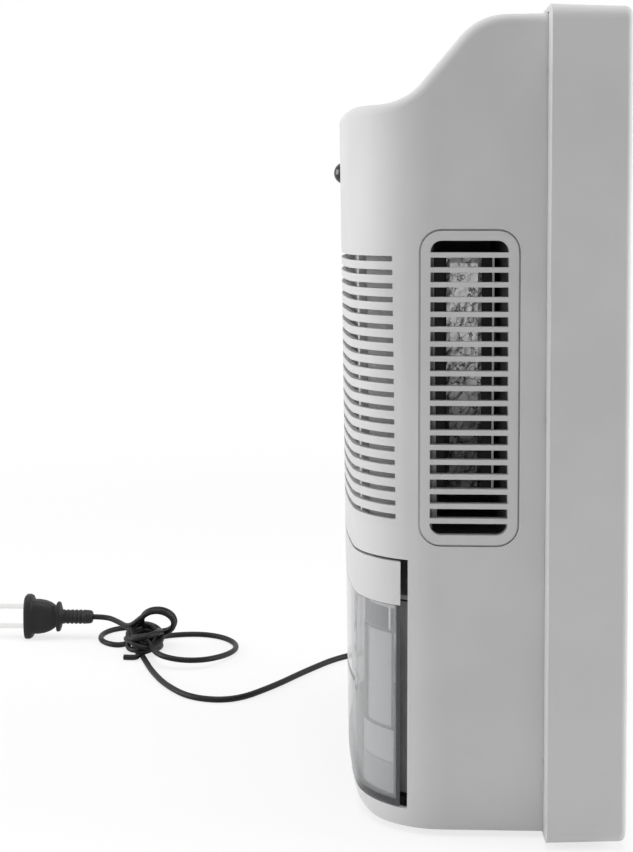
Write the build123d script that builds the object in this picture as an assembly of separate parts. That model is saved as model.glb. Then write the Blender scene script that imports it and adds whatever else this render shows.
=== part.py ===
from build123d import *
import math
import os

os.makedirs("parts", exist_ok=True)

# Overall sizes in millimetres. The floor is z = 0, the front faces -Y and the photograph looks from +X.
HEIGHT = 360.0
DEPTH = 124.5
COVER_WIDTH = 220.0
COVER_DEPTH = 34.0
BODY_WIDTH = 192.0
FOOT_HEIGHT = 1.5
BODY_LIFT = 1.5
BODY_STEP = 2.0
WALL = 2.5
FIT_GAP = 0.3

# The heights inside are drawn for a housing this tall and follow HEIGHT
DRAWN_HEIGHT = 360.0
TALL = HEIGHT / DRAWN_HEIGHT

# Front housing: bowed plan, S shaped top, rounded chin
BOW_RADIUS = 450.0
CORNER_RADIUS = 37.5
SHELF_DROP = 40.5
SHELF_HEIGHT = HEIGHT - SHELF_DROP
TOP_FALL = 0.8
KNEE_BACK = 61.0
RISE_ANGLE = 50.0
KNEE_RADIUS = 26.0
FOOT_CURVE_RADIUS = 24.0
CHIN_RADIUS = 18.0
CHIN_AHEAD = 1.0
LEAN = 0.9
TOP_EDGE_RADIUS = 4.5
TONGUE = 3.0

# Back cover
COVER_DRAFT = 2.0
COVER_TOP_RADIUS = 7.0
COVER_FOOT_RADIUS = 2.0
COVER_BACK_RADIUS = 3.0
INTAKE_WIDTH = 96.0
INTAKE_SLOTS = 14
INTAKE_PITCH = 7.0
INTAKE_SLOT = 3.6
INTAKE_WEB = 4.0
CLIP_HEIGHTS = (34.0 * TALL, 183.0 * TALL, 333.0 * TALL)
CLIP_WIDTH = 1.2
CLIP_LENGTH = 2.4

# Front louvre
LOUVRE_SLOTS = 20
LOUVRE_PITCH = 5.93 * TALL
LOUVRE_SLOT = 2.4
LOUVRE_MIDDLE = 196.0 * TALL
LOUVRE_END = 25.2
LOUVRE_FRAME = 3.0
LOUVRE_RIB = 2.0
LOUVRE_RIB_DEPTH = 3.0
LOUVRE_RIBS = (-70.0, -35.0, 0.0, 35.0, 70.0)

# Side grilles
GRILLE_BACK = 57.5
GRILLE_WIDTH = 42.0
GRILLE_HEIGHT = 136.0 * TALL
GRILLE_RADIUS = 9.0
GRILLE_GROOVE = 0.8
GRILLE_RIM = 4.2
GRILLE_SLATS = 19
GRILLE_PITCH = 6.4 * TALL
GRILLE_SLAT = 2.2
GRILLE_LIP = 2.5
GRILLE_LIP_DEPTH = 1.5
GRILLE_RISE = 0.5

# Power button and its switch
BUTTON_DROP = 27.5
BUTTON_HEIGHT = SHELF_HEIGHT - BUTTON_DROP
BUTTON_DIAMETER = 10.0
BUTTON_PROUD = 3.2
BUTTON_TRAVEL = 1.5
BUTTON_COLLAR = 1.6
BUTTON_COLLAR_DEPTH = 1.2
BUTTON_STEM = 4.0
PLUNGER_DIAMETER = 3.0
PLUNGER_LENGTH = 3.4
SWITCH_SIZE = 6.0
SWITCH_DEPTH = 5.0
CONTROL_BOARD = (56.0, 22.0, 1.6)
CONTROL_POST_SPACING = 44.0
POST_DIAMETER = 6.0

# Water tank, its fascia and lid
TANK_FLOOR = 11.8
TANK_TOP = 100.4 * TALL
REAR_ROOM = 36.5
BAY_BACK = DEPTH - REAR_ROOM
BAY_CLEAR = 4.0
LEAN_RUN = math.tan(math.radians(LEAN)) * BUTTON_HEIGHT
TANK_DEPTH = BAY_BACK - BAY_CLEAR - LEAN_RUN
TANK_WALL = 2.2
TANK_BACK_RADIUS = 8.0
TANK_SIDE_GAP = 5.6
TANK_RAIL_SIDE = 60.0
TANK_RAIL_WIDTH = 4.0
TANK_RAIL_START = 34.0
TANK_RUN_GAP = 0.05
MOUTH_END = 31.4
MOUTH_GAP = 1.2
FASCIA_END = 28.2
FASCIA_TOP = 120.0 * TALL
FASCIA_SEAM = 0.3
LID_THICKNESS = 2.0
LID_LIP = 4.0
INLET_RADIUS = 7.0
INLET_COLLAR = 2.0
INLET_COLLAR_HEIGHT = 3.0
SEAL_THICKNESS = 0.8

# Float in the tank
FLOAT_SIDE = 52.0
FLOAT_PIVOT_ROOM = 16.0
FLOAT_PIVOT_BACK = TANK_DEPTH - FLOAT_PIVOT_ROOM
FLOAT_PIVOT_DROP = 9.0
FLOAT_PIN_DIAMETER = 3.0
FLOAT_PIN_GAP = 0.05
FLOAT_ROOM = 34.0
FLOAT_ARM_LENGTH = FLOAT_PIVOT_BACK - FLOAT_ROOM
FLOAT_ARM_WIDTH = 6.0
FLOAT_ARM_DEPTH = 4.0
FLOAT_SIZE = (22.0, 20.0, 16.0)
FLOAT_HANG = 28.0
LUG_THICKNESS = 2.0
LUG_GAP = 0.4
MAGNET_DIAMETER = 5.0
MAGNET_LENGTH = 4.0

# Tank bay liner, drip tray and spout
BAY_WALL = 2.0
BAY_TOP = 124.0 * TALL
TRAY_WIDTH = 96.0
TRAY_FRONT = 14.0
TRAY_BACK = 38.0
TRAY_HEIGHT = 14.0
TRAY_WALL = 1.6
SPOUT_BACK = 22.0
SPOUT_RADIUS = 5.0
SPOUT_BORE = 3.4
SPOUT_CLEAR = 4.0

# Air duct, heat sinks and thermoelectric module
DUCT_FRONT = 40.0
DUCT_BACK = 76.0
DUCT_TOP = 268.0 * TALL
DUCT_WALL = 2.0
DIVIDER_GAP = 0.5
CORE_HEIGHT = 199.0 * TALL
MODULE_SIZE = 40.0
MODULE_THICKNESS = 4.0
FRAME_SIZE = 66.0
HOT_WIDTH = 124.0
HOT_HEIGHT = 106.0
HOT_BASE = 5.0
HOT_FIN_DEPTH = 24.0
HOT_FINS = 16
HOT_FIN = 1.6
COLD_SIZE = 84.0
COLD_BASE = 4.0
COLD_FIN_DEPTH = 16.0
COLD_FINS = 12
COLD_FIN = 1.4
FOIL_THICKNESS = 3.0
FOIL_DEPTH = 22.0
FOIL_START = 1.0
SINK_SCREW_SPACING = 52.0
SCREW_DIAMETER = 3.0
SCREW_HEAD = 6.0
SCREW_HEAD_HEIGHT = 2.2

# Fan
FAN_SIZE = 92.0
FAN_DEPTH = 25.0
FAN_BORE = 88.0
FAN_HOLE_SPACING = 82.5
FAN_HOLE = 4.3
FAN_CORNER = 5.0
FAN_HUB = 36.0
FAN_BLADES = 7
FAN_TIP_GAP = 1.5
FAN_BLADE_THICKNESS = 1.6
FAN_BLADE_PITCH = 38.0
FAN_STRUTS = 4
FAN_STRUT = 4.0
FAN_BASE_DEPTH = 5.0
FAN_SHAFT_DIAMETER = 4.0
FAN_BEARING_DIAMETER = 9.0
FAN_RUN_GAP = 0.05
FAN_AXIAL_GAP = 1.0

# Power board in the back cover
POWER_BOARD = (110.0, 76.0, 1.6)
POWER_BOARD_HEIGHT = 66.0 * TALL
STANDOFF = 7.0
TRANSFORMER = (36.0, 16.0, 30.0)
TRANSFORMER_SIDE = 22.0
CAPACITOR_DIAMETER = 12.0
CAPACITOR_LENGTH = 15.0
CAPACITOR_SPACING = 18.0
CAPACITOR_SIDE = -13.75
TERMINAL = (26.0, 10.0, 10.0)

# Cover screws, feet and level switch
TOP_SCREW_DROP = 42.0
TOP_SCREW = (86.0, HEIGHT - TOP_SCREW_DROP)
LOW_SCREW = (78.0, 34.0)
BOSS_DIAMETER = 9.0
BOSS_LENGTH = 22.0
LOW_BOSS_LENGTH = 5.5
SCREW_LENGTH = 14.0
SCREW_SEAT = 3.0
FOOT_DIAMETER = 12.0
FOOT_INSET = 14.0
REED_SIZE = (14.0, 5.0, 6.0)

# Mains cord, hank and plug
CORD_DIAMETER = 3.4
CORD_FLOOR = 1.75
RELIEF_HEIGHT = 22.0
RELIEF_LENGTH = 28.0
RELIEF_ROOT = 9.0
RELIEF_TIP = 6.0
RELIEF_FLANGE = 12.0
RELIEF_FLANGE_DEPTH = 1.6
HANK_LEVEL = 7.4
HANK_UNDER = 2.6
HANK_RUN_IN = 16.0
HANK_LEAVE = 2.3
BEND_SHARE = 0.45
NEAR_TURN = 12.0
HANK_WAIST = (-172.0, -185.0)
RIGHT_LOOP = (-170.0, -158.0, 31.0, 30.0)
RIGHT_TURNS = (-50.0, 215.0)
RIGHT_STEPS = 9
LEFT_LOOP = (-194.0, -201.0, 20.0, 17.0)
LEFT_TURNS = (180.0, 400.0)
LEFT_STEPS = 8
STANDING_RADIUS = 10.5
STANDING_LEAN = 30.0
STANDING_MIDDLE = (-186.0, -178.5)
STANDING_STEP = 5.4
STANDING_STEPS = 20
STANDING_STEP_ANGLE = 30.0
TIE_GAP = 1.0
TIE_LIFT = 0.7
TIE_THICKNESS = 0.7
TIE_DEPTH = 3.0
PLUG_X = -194.0
PLUG_TIP = -266.0
PLUG_HEIGHT = 14.1
PLUG_FLANGE = (18.0, 28.0, 5.0)
PLUG_BODY = (14.0, 20.0, 15.0)
PLUG_NECK = (10.0, 12.0, 4.0)
PLUG_WING = (12.0, 19.0, 2.4)
PLUG_SLEEVE_LENGTH = 19.0
PLUG_SLEEVE_ROOT = 4.6
PLUG_SLEEVE_TIP = 3.1
BLADE_SPACING = 12.7
BLADE = (6.3, 18.0, 1.5)

# Places worked out from the sizes above
FRONT = (BUTTON_PROUD - DEPTH) / 2
BACK = FRONT + DEPTH
COVER_FRONT = BACK - COVER_DEPTH
BODY_BOTTOM = FOOT_HEIGHT + BODY_LIFT
BODY_TOP = HEIGHT - BODY_STEP
BODY_FLOOR = BODY_BOTTOM + WALL
BODY_BACK = COVER_FRONT + TONGUE
HALF_BODY = BODY_WIDTH / 2
INNER_HALF = HALF_BODY - WALL
COVER_INSIDE = BACK - WALL
BAY_CEILING = BAY_TOP - BAY_WALL
BAY_REAR = FRONT + BAY_BACK
DUCT_HALF = INNER_HALF - GRILLE_LIP_DEPTH - FIT_GAP
DUCT_INNER_FRONT = FRONT + DUCT_FRONT + DUCT_WALL
LOUVRE_SPAN = (LOUVRE_SLOTS - 1) * LOUVRE_PITCH + LOUVRE_SLOT
LOUVRE_LOW = LOUVRE_MIDDLE - LOUVRE_SPAN / 2 - LOUVRE_FRAME
LOUVRE_HIGH = LOUVRE_MIDDLE + LOUVRE_SPAN / 2 + LOUVRE_FRAME
GRILLE_MIDDLE = LOUVRE_MIDDLE + GRILLE_RISE
FAN_FRONT = FRONT + DUCT_BACK
LID_LEVEL = TANK_TOP + SEAL_THICKNESS
REACH = 400.0


def block(x0, x1, y0, y1, z0, z1):
    """A box between three pairs of planes."""
    middle = Pos((x0 + x1) / 2, (y0 + y1) / 2, (z0 + z1) / 2)
    return middle * Box(x1 - x0, y1 - y0, z1 - z0)


def rod_y(x, z, y0, y1, radius):
    """A round bar along Y from y0 to y1."""
    return Pos(x, (y0 + y1) / 2, z) * Rot(90, 0, 0) * Cylinder(radius, y1 - y0)


def rod_x(x0, x1, y, z, radius):
    """A round bar along X from x0 to x1."""
    return Pos((x0 + x1) / 2, y, z) * Rot(0, 90, 0) * Cylinder(radius, x1 - x0)


def rod_z(x, y, z0, z1, radius):
    """A round bar along Z from z0 to z1."""
    return Pos(x, y, (z0 + z1) / 2) * Cylinder(radius, z1 - z0)


LEANING = Pos(0, FRONT, BUTTON_HEIGHT) * Rot(LEAN, 0, 0) * Pos(0, -FRONT, -BUTTON_HEIGHT)


def ahead_of(y):
    """Everything ahead of the upright plane at y."""
    return block(-REACH, REACH, -REACH, y, -REACH, REACH)


def between(low, high):
    """Everything between two heights."""
    return block(-REACH, REACH, -REACH, REACH, low, high)


def leaning(plan, low, high):
    """A form with this plan between two heights, leaning back towards the floor as the front does."""
    return LEANING * extrude(plan, 2 * HEIGHT, both=True) & between(low, high)


def plan_face(inset, back):
    """The housing seen from above, drawn in by inset, from its bowed front to y = back."""
    half = HALF_BODY - inset
    front = FRONT + inset
    bow = BOW_RADIUS - inset
    with BuildSketch() as plan:
        with Locations((0, front + DEPTH)):
            Rectangle(2 * half, 2 * DEPTH)
        with Locations((0, front + bow)):
            Circle(bow, mode=Mode.INTERSECT)
        fillet(plan.vertices().sort_by(Axis.Y)[:2], CORNER_RADIUS - inset)
        with Locations((0, back - DEPTH)):
            Rectangle(2 * COVER_WIDTH, 2 * DEPTH, mode=Mode.INTERSECT)
    return plan.sketch


def side_face(inset):
    """The housing seen from the side: shelf, S shaped rise, top and rounded chin."""
    knee = (FRONT + KNEE_BACK, BODY_TOP - TOP_FALL)
    rise = (knee[1] - SHELF_HEIGHT) / math.tan(math.radians(RISE_ANGLE))
    foot = (knee[0] - rise, SHELF_HEIGHT)
    slope = math.tan(math.radians(LEAN))
    nose = FRONT - CHIN_AHEAD - (SHELF_HEIGHT - BUTTON_HEIGHT) * slope
    chin = (FRONT - CHIN_AHEAD + (BUTTON_HEIGHT - BODY_BOTTOM) * slope, BODY_BOTTOM)
    with BuildSketch() as side:
        with BuildLine():
            Polyline(
                (BACK, BODY_BOTTOM), (BACK, BODY_TOP), knee, foot, (nose, SHELF_HEIGHT), chin, close=True,
            )
        make_face()
        for point, radius in ((knee, KNEE_RADIUS), (foot, FOOT_CURVE_RADIUS), (chin, CHIN_RADIUS)):
            fillet(side.vertices().sort_by_distance((*point, 0))[0], radius)
        if inset:
            offset(amount=-inset, mode=Mode.REPLACE)
    return Plane.YZ * side.sketch


def body_solid(inset, back):
    """The housing's solid form, drawn in by inset on every side but the back."""
    plan = leaning(plan_face(inset, back + LEAN_RUN), 0, HEIGHT)
    return plan & extrude(side_face(inset), BODY_WIDTH, both=True) & ahead_of(back)


def outer_body():
    """The housing's outside with its top edges rounded over."""
    body = body_solid(0, BODY_BACK)
    rim = [
        e for e in body.edges()
        if e.center().Z > SHELF_HEIGHT - WALL and (e.geom_type != GeomType.LINE or abs((e % 0.5).X) < 0.9)
    ]
    return fillet(rim, TOP_EDGE_RADIUS)


def grille_face(grow, radius):
    """A rounded rectangle of the side grille's outline, larger by grow all round."""
    outline = RectangleRounded(GRILLE_WIDTH + 2 * grow, GRILLE_HEIGHT + 2 * grow, radius)
    return Plane.YZ * Pos(FRONT + GRILLE_BACK, GRILLE_MIDDLE) * outline


BODY = outer_body()
CAVITY = body_solid(WALL, BACK)
SHELL = BODY - CAVITY
LOUVRE_ZONE = LEANING * ahead_of(FRONT + LOUVRE_END) & between(LOUVRE_LOW, LOUVRE_HIGH)
MOUTH_TOP = FASCIA_TOP + MOUTH_GAP
MOUTH_ZONE = block(-REACH, REACH, -REACH, FRONT + MOUTH_END, TANK_FLOOR - MOUTH_GAP, MOUTH_TOP)
BOARD_FRONT = FRONT + WALL + BUTTON_COLLAR_DEPTH + BUTTON_TRAVEL + BUTTON_STEM + SWITCH_DEPTH


def front_housing():
    """Curved shell with the louvre window, tank mouth and rails, grille windows, button hole and bosses."""
    housing = SHELL - LOUVRE_ZONE - MOUTH_ZONE
    housing -= extrude(grille_face(GRILLE_GROOVE, GRILLE_RADIUS + GRILLE_GROOVE), REACH, both=True)
    housing -= rod_y(0, BUTTON_HEIGHT, FRONT - WALL, FRONT + 2 * WALL, BUTTON_DIAMETER / 2 + FIT_GAP)
    x, z = TOP_SCREW
    for side in (-1, 1):
        boss = rod_y(side * x, z, BODY_BACK - BOSS_LENGTH, BODY_BACK, BOSS_DIAMETER / 2)
        web = block(
            min(side * x, side * INNER_HALF), max(side * x, side * INNER_HALF),
            BODY_BACK - BOSS_LENGTH, BODY_BACK, z - WALL / 2, z + WALL / 2,
        )
        housing += boss + web
        housing -= rod_y(side * x, z, BODY_BACK - SCREW_LENGTH, BODY_BACK, SCREW_DIAMETER / 2)
        rail_x = side * TANK_RAIL_SIDE
        housing += block(
            rail_x - TANK_RAIL_WIDTH / 2, rail_x + TANK_RAIL_WIDTH / 2, FRONT + TANK_RAIL_START,
            BAY_REAR - FIT_GAP, BODY_FLOOR - WALL / 2, TANK_FLOOR - TANK_RUN_GAP,
        )
        post_x = side * CONTROL_POST_SPACING / 2
        housing += rod_y(post_x, BUTTON_HEIGHT, FRONT, BOARD_FRONT, POST_DIAMETER / 2) & BODY
        hole_front = BOARD_FRONT - SCREW_HEAD
        housing -= rod_y(post_x, BUTTON_HEIGHT, hole_front, BOARD_FRONT, SCREW_DIAMETER / 2)
    return housing


def front_louvre():
    """The slotted wrap-around front with upright ribs behind it."""
    panel = SHELL & LOUVRE_ZONE
    low = LOUVRE_LOW + LOUVRE_FRAME
    slot_zone = LEANING * ahead_of(FRONT + LOUVRE_END - LOUVRE_FRAME / 2)
    for i in range(LOUVRE_SLOTS):
        z = low + i * LOUVRE_PITCH
        panel -= slot_zone & between(z, z + LOUVRE_SLOT)
    ribs = body_solid(WALL, BACK) - body_solid(WALL + LOUVRE_RIB_DEPTH, BACK)
    for x in LOUVRE_RIBS:
        slice_x = block(x - LOUVRE_RIB / 2, x + LOUVRE_RIB / 2, -REACH, 0, LOUVRE_LOW, LOUVRE_HIGH)
        panel += ribs & slice_x
    return panel


def side_grille(side):
    """One slatted insert, flush with the housing, with a lip that holds it from inside."""
    half_span = REACH / 2
    zone = block(min(0, side * half_span), max(0, side * half_span), -REACH, REACH, 0, HEIGHT)
    plate = SHELL & extrude(grille_face(0, GRILLE_RADIUS), REACH, both=True) & zone
    lip_zone = extrude(grille_face(GRILLE_LIP, GRILLE_RADIUS + GRILLE_LIP), REACH, both=True) & zone
    lip = (CAVITY - body_solid(WALL + GRILLE_LIP_DEPTH, BACK)) & lip_zone
    opening_face = grille_face(-GRILLE_RIM, GRILLE_RADIUS - GRILLE_RIM)
    openings = extrude(opening_face, REACH, both=True)
    span = (GRILLE_SLATS - 1) * GRILLE_PITCH
    for i in range(GRILLE_SLATS):
        z = GRILLE_MIDDLE - span / 2 + i * GRILLE_PITCH
        openings -= block(-2 * REACH, 2 * REACH, -REACH, REACH, z - GRILLE_SLAT / 2, z + GRILLE_SLAT / 2)
    return plate + lip - openings


def cover_form(inset, front):
    """The drafted box of the back cover, drawn in by inset, from y = front to its back."""
    low = FOOT_HEIGHT + inset
    high = HEIGHT - inset
    with BuildSketch(Plane.XZ.offset(-front)) as outline:
        with Locations((0, (low + high) / 2)):
            Rectangle(COVER_WIDTH - 2 * inset, high - low)
        corners = outline.vertices().group_by(Axis.Z)
        fillet(corners[-1], COVER_TOP_RADIUS - inset)
        if not inset:
            fillet(corners[0], COVER_FOOT_RADIUS)
    return extrude(outline.sketch, -(BACK - inset - front), taper=COVER_DRAFT)


def cover_screw_places():
    """The x, z, seat and length of the four cover screws."""
    top = (*TOP_SCREW, BODY_BACK, SCREW_LENGTH)
    low = (*LOW_SCREW, BAY_REAR + LOW_BOSS_LENGTH, LOW_BOSS_LENGTH + SCREW_SEAT)
    return [(side * x, z, seat, length) for x, z, seat, length in (top, low) for side in (-1, 1)]


def board_hole_places():
    """The x and z of the power board's four screws."""
    x = POWER_BOARD[0] / 2 - SCREW_HEAD
    z = POWER_BOARD[1] / 2 - SCREW_HEAD
    return [(sx * x, POWER_BOARD_HEIGHT + sz * z) for sx in (-1, 1) for sz in (-1, 1)]


BOARD_BACK = COVER_INSIDE - STANDOFF
RELIEF_Y = BACK - COVER_DEPTH / 2
COVER_SLOPE = math.tan(math.radians(COVER_DRAFT)) * COVER_DEPTH / 2
RELIEF_FACE = -COVER_WIDTH / 2 + COVER_SLOPE


def back_cover():
    """Deep drafted box with a flange round the housing, an intake grille, screw wells and standoffs."""
    solid = cover_form(0, COVER_FRONT)
    back_rim = solid.faces().sort_by(Axis.Y)[-1].edges()
    cover = fillet(back_rim, COVER_BACK_RADIUS)
    cover -= cover_form(WALL, COVER_FRONT + WALL)
    seat_end = BODY_BACK + FIT_GAP
    cover -= body_solid(-FIT_GAP, BACK) & block(-REACH, REACH, -REACH, seat_end, 0, REACH)
    half_intake = INTAKE_WIDTH / 2
    span = (INTAKE_SLOTS - 1) * INTAKE_PITCH
    for i in range(INTAKE_SLOTS):
        z = CORE_HEIGHT - span / 2 + i * INTAKE_PITCH
        for side in (-1, 1):
            x = side * (half_intake + INTAKE_WEB / 2) / 2
            slot = SlotOverall(half_intake - INTAKE_WEB / 2, INTAKE_SLOT)
            cover -= extrude(Plane.XZ.offset(-COVER_INSIDE + WALL) * Pos(x, z) * slot, -3 * WALL)
    for z in CLIP_HEIGHTS:
        for side in (-1, 1):
            x = side * HALF_BODY
            cover -= block(
                min(x, x + side * CLIP_WIDTH), max(x, x + side * CLIP_WIDTH),
                COVER_FRONT - WALL, COVER_FRONT + 2 * WALL, z - CLIP_LENGTH / 2, z + CLIP_LENGTH / 2,
            )
    for x, z, seat, _ in cover_screw_places():
        cover += rod_y(x, z, seat, COVER_INSIDE + WALL / 2, BOSS_DIAMETER / 2)
        cover -= rod_y(x, z, seat + SCREW_SEAT, BACK + WALL, SCREW_HEAD / 2 + FIT_GAP)
        cover -= rod_y(x, z, seat - WALL, BACK, SCREW_DIAMETER / 2 + FIT_GAP)
    for x, z in board_hole_places():
        cover += rod_y(x, z, BOARD_BACK, COVER_INSIDE + WALL / 2, POST_DIAMETER / 2)
        cover -= rod_y(x, z, BOARD_BACK - WALL, COVER_INSIDE, SCREW_DIAMETER / 2)
    hole_end = RELIEF_FACE + 2 * WALL
    cover -= rod_x(RELIEF_FACE - 2 * WALL, hole_end, RELIEF_Y, RELIEF_HEIGHT, RELIEF_ROOT / 2 + FIT_GAP)
    return cover


def pan_screw(x, z, seat, direction, length):
    """A pan head screw along Y: its head sits on y = seat and its shank runs along direction."""
    shank_end = seat + direction * length
    head_end = seat - direction * SCREW_HEAD_HEIGHT
    shank_radius = SCREW_DIAMETER / 2
    shank = rod_y(x, z, min(seat, shank_end), max(seat, shank_end), shank_radius)
    head = rod_y(x, z, min(seat, head_end), max(seat, head_end), SCREW_HEAD / 2)
    domed = head.edges().filter_by(lambda e: abs(e.center().Y - head_end) < SCREW_DIAMETER / 10)
    return fillet(domed, SCREW_HEAD_HEIGHT / 2) + shank


def cover_screws():
    """Four screws that hold the back cover."""
    return [pan_screw(x, z, seat + SCREW_SEAT, -1, length) for x, z, seat, length in cover_screw_places()]


def rubber_feet():
    """Four stuck-on feet, two under the housing and two under the back cover."""
    feet = []
    for side in (-1, 1):
        x = side * (HALF_BODY - CORNER_RADIUS + FOOT_INSET)
        front_y = FRONT + MOUTH_END + FOOT_INSET / 2
        back_y = BACK - COVER_DEPTH / 2
        feet.append(rod_z(x, front_y, 0, BODY_BOTTOM, FOOT_DIAMETER / 2))
        feet.append(rod_z(x, back_y, 0, FOOT_HEIGHT, FOOT_DIAMETER / 2))
    return feet


def power_button():
    """Domed push button with a collar behind the wall and a stem to the switch."""
    radius = BUTTON_DIAMETER / 2
    stem = BUTTON_STEM / 2
    collar = radius + BUTTON_COLLAR
    collar_front = WALL + FIT_GAP
    collar_back = collar_front + BUTTON_COLLAR_DEPTH
    stem_back = BOARD_FRONT - SWITCH_DEPTH - BUTTON_TRAVEL - FRONT
    dome_centre = (BUTTON_PROUD ** 2 - radius ** 2) / (2 * BUTTON_PROUD)
    sphere = BUTTON_PROUD - dome_centre
    with BuildSketch() as half:
        with BuildLine():
            Polyline(
                (0, -BUTTON_PROUD), (0, stem_back), (stem, stem_back), (stem, collar_back),
                (collar, collar_back), (collar, collar_front), (radius, collar_front), (radius, 0),
            )
            RadiusArc((radius, 0), (0, -BUTTON_PROUD), sphere)
        make_face()
    turned = revolve(half.sketch, Axis.Y)
    return Pos(0, FRONT, BUTTON_HEIGHT) * turned


def switch_plunger():
    """The switch's plunger, which the button's stem pushes."""
    front = BOARD_FRONT - SWITCH_DEPTH - BUTTON_TRAVEL
    return rod_y(0, BUTTON_HEIGHT, front, front + PLUNGER_LENGTH, PLUNGER_DIAMETER / 2)


def tact_switch():
    """Square switch body on the control board, bored for the plunger."""
    half = SWITCH_SIZE / 2
    front = BOARD_FRONT - SWITCH_DEPTH
    body = block(-half, half, front, BOARD_FRONT, BUTTON_HEIGHT - half, BUTTON_HEIGHT + half)
    bore_end = front + PLUNGER_LENGTH + FIT_GAP
    return body - rod_y(0, BUTTON_HEIGHT, front - WALL, bore_end, PLUNGER_DIAMETER / 2 + FIT_GAP)


def control_board():
    """Small circuit board behind the button, drilled for its two screws."""
    wide, tall, thick = CONTROL_BOARD
    low = BUTTON_HEIGHT - tall / 2
    board = block(-wide / 2, wide / 2, BOARD_FRONT, BOARD_FRONT + thick, low, low + tall)
    for side in (-1, 1):
        x = side * CONTROL_POST_SPACING / 2
        hole = SCREW_DIAMETER / 2 + FIT_GAP
        board -= rod_y(x, BUTTON_HEIGHT, BOARD_FRONT - WALL, BOARD_FRONT + 2 * thick, hole)
    return board


def board_screws():
    """Screws of the control board and the power board."""
    seat = BOARD_FRONT + CONTROL_BOARD[2]
    short = SCREW_HEAD
    screws = [
        pan_screw(s * CONTROL_POST_SPACING / 2, BUTTON_HEIGHT, seat, -1, short) for s in (-1, 1)
    ]
    front = BOARD_BACK - POWER_BOARD[2]
    screws += [pan_screw(x, z, front, 1, short) for x, z in board_hole_places()]
    return screws


def wrapped_front(low, high, inset, end):
    """A slice of the housing's wrap-around front between two heights, cut upright at its end."""
    return leaning(plan_face(inset, BACK), low, high) & ahead_of(FRONT + end)


def tank_form(inset, low, high):
    """The tank drawn in by inset: full width ahead of the mouth's edge, narrower inside the bay."""
    narrow = leaning(bay_face(inset), low, high)
    wide = wrapped_front(low, high, inset, FASCIA_END - inset)
    return (narrow + wide) & extrude(side_face(inset), BODY_WIDTH, both=True)


def water_tank():
    """Clear open box whose front carries on the housing's curve and chin."""
    return tank_form(0, TANK_FLOOR, TANK_TOP) - tank_form(TANK_WALL, TANK_FLOOR + TANK_WALL, HEIGHT)


def tank_fascia():
    """White band that caps the clear front, closed at both ends, open behind."""
    band = wrapped_front(TANK_TOP + FASCIA_SEAM, FASCIA_TOP, 0, FASCIA_END)
    return band - wrapped_front(TANK_TOP, FASCIA_TOP + WALL, WALL, FASCIA_END)


def bay_face(inset):
    """Outline of the tank's narrow part from above, clear of the mouth's edges."""
    narrow_inset = WALL + TANK_SIDE_GAP + inset
    with BuildSketch() as bay:
        add(plan_face(narrow_inset, FRONT + TANK_DEPTH - inset))
        fillet(bay.vertices().sort_by(Axis.Y)[-2:], TANK_BACK_RADIUS - min(inset, TANK_WALL))
    return bay.sketch


def lid_form(inset, low, high):
    """The lid drawn in by inset: it fills the tank's top and runs forward inside the fascia."""
    ahead = wrapped_front(low, high, WALL + FIT_GAP + inset, FASCIA_END - inset)
    return leaning(bay_face(inset), low, high) + ahead


def float_pivot():
    """The y and z of the float arm's pin."""
    return FRONT + FLOAT_PIVOT_BACK, TANK_TOP - FLOAT_PIVOT_DROP


def tank_lid():
    """Flat lid with a drip inlet, a locating rib inside the tank's rim and two lugs for the float."""
    top = LID_LEVEL + LID_THICKNESS
    lid = lid_form(0, LID_LEVEL, top)
    rib_out = TANK_WALL + FIT_GAP
    rib_low = LID_LEVEL - LID_LIP
    lid += lid_form(rib_out, rib_low, LID_LEVEL) - lid_form(rib_out + TANK_WALL, rib_low, LID_LEVEL)
    inlet_y = FRONT + SPOUT_BACK
    collar_top = top + INLET_COLLAR_HEIGHT
    lid += rod_z(0, inlet_y, LID_LEVEL, collar_top, INLET_RADIUS + INLET_COLLAR)
    lid -= rod_z(0, inlet_y, LID_LEVEL - WALL, collar_top + WALL, INLET_RADIUS)
    y, z = float_pivot()
    lug_radius = FLOAT_PIN_DIAMETER
    for side in (-1, 1):
        near = FLOAT_SIDE + side * (FLOAT_ARM_WIDTH / 2 + LUG_GAP)
        far = near + side * LUG_THICKNESS
        x0, x1 = min(near, far), max(near, far)
        lid += rod_x(x0, x1, y, z, lug_radius)
        lid += block(x0, x1, y - lug_radius, y + lug_radius, z, LID_LEVEL)
        lid -= rod_x(x0 - WALL, x1 + WALL, y, z, FLOAT_PIN_DIAMETER / 2)
    return lid


def lid_seal():
    """Thin rubber gasket between the lid and the rim of the tank's sides and back."""
    ring = bay_face(FIT_GAP) - bay_face(TANK_WALL)
    return leaning(ring, TANK_TOP, LID_LEVEL) - ahead_of(FRONT + FASCIA_END + FIT_GAP)


def float_pin():
    """Pin through the lid's lugs that the float arm swings on."""
    y, z = float_pivot()
    half = FLOAT_ARM_WIDTH / 2 + LUG_GAP + LUG_THICKNESS
    return rod_x(FLOAT_SIDE - half, FLOAT_SIDE + half, y, z, FLOAT_PIN_DIAMETER / 2)


def hung(shape):
    """Turns a piece drawn level at the pivot down to where the empty tank's float hangs."""
    y, z = float_pivot()
    return Pos(FLOAT_SIDE, y, z) * Rot(FLOAT_HANG, 0, 0) * shape


def float_arm():
    """Arm from the pin to the float, with an eye and a magnet pocket."""
    eye = rod_x(-FLOAT_ARM_WIDTH / 2, FLOAT_ARM_WIDTH / 2, 0, 0, FLOAT_PIN_DIAMETER)
    half = FLOAT_ARM_DEPTH / 2
    arm = block(-FLOAT_ARM_WIDTH / 2, FLOAT_ARM_WIDTH / 2, -FLOAT_ARM_LENGTH, 0, -half, half)
    bored = eye + arm - rod_x(-REACH, REACH, 0, 0, FLOAT_PIN_DIAMETER / 2 + FLOAT_PIN_GAP)
    return hung(bored)


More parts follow.
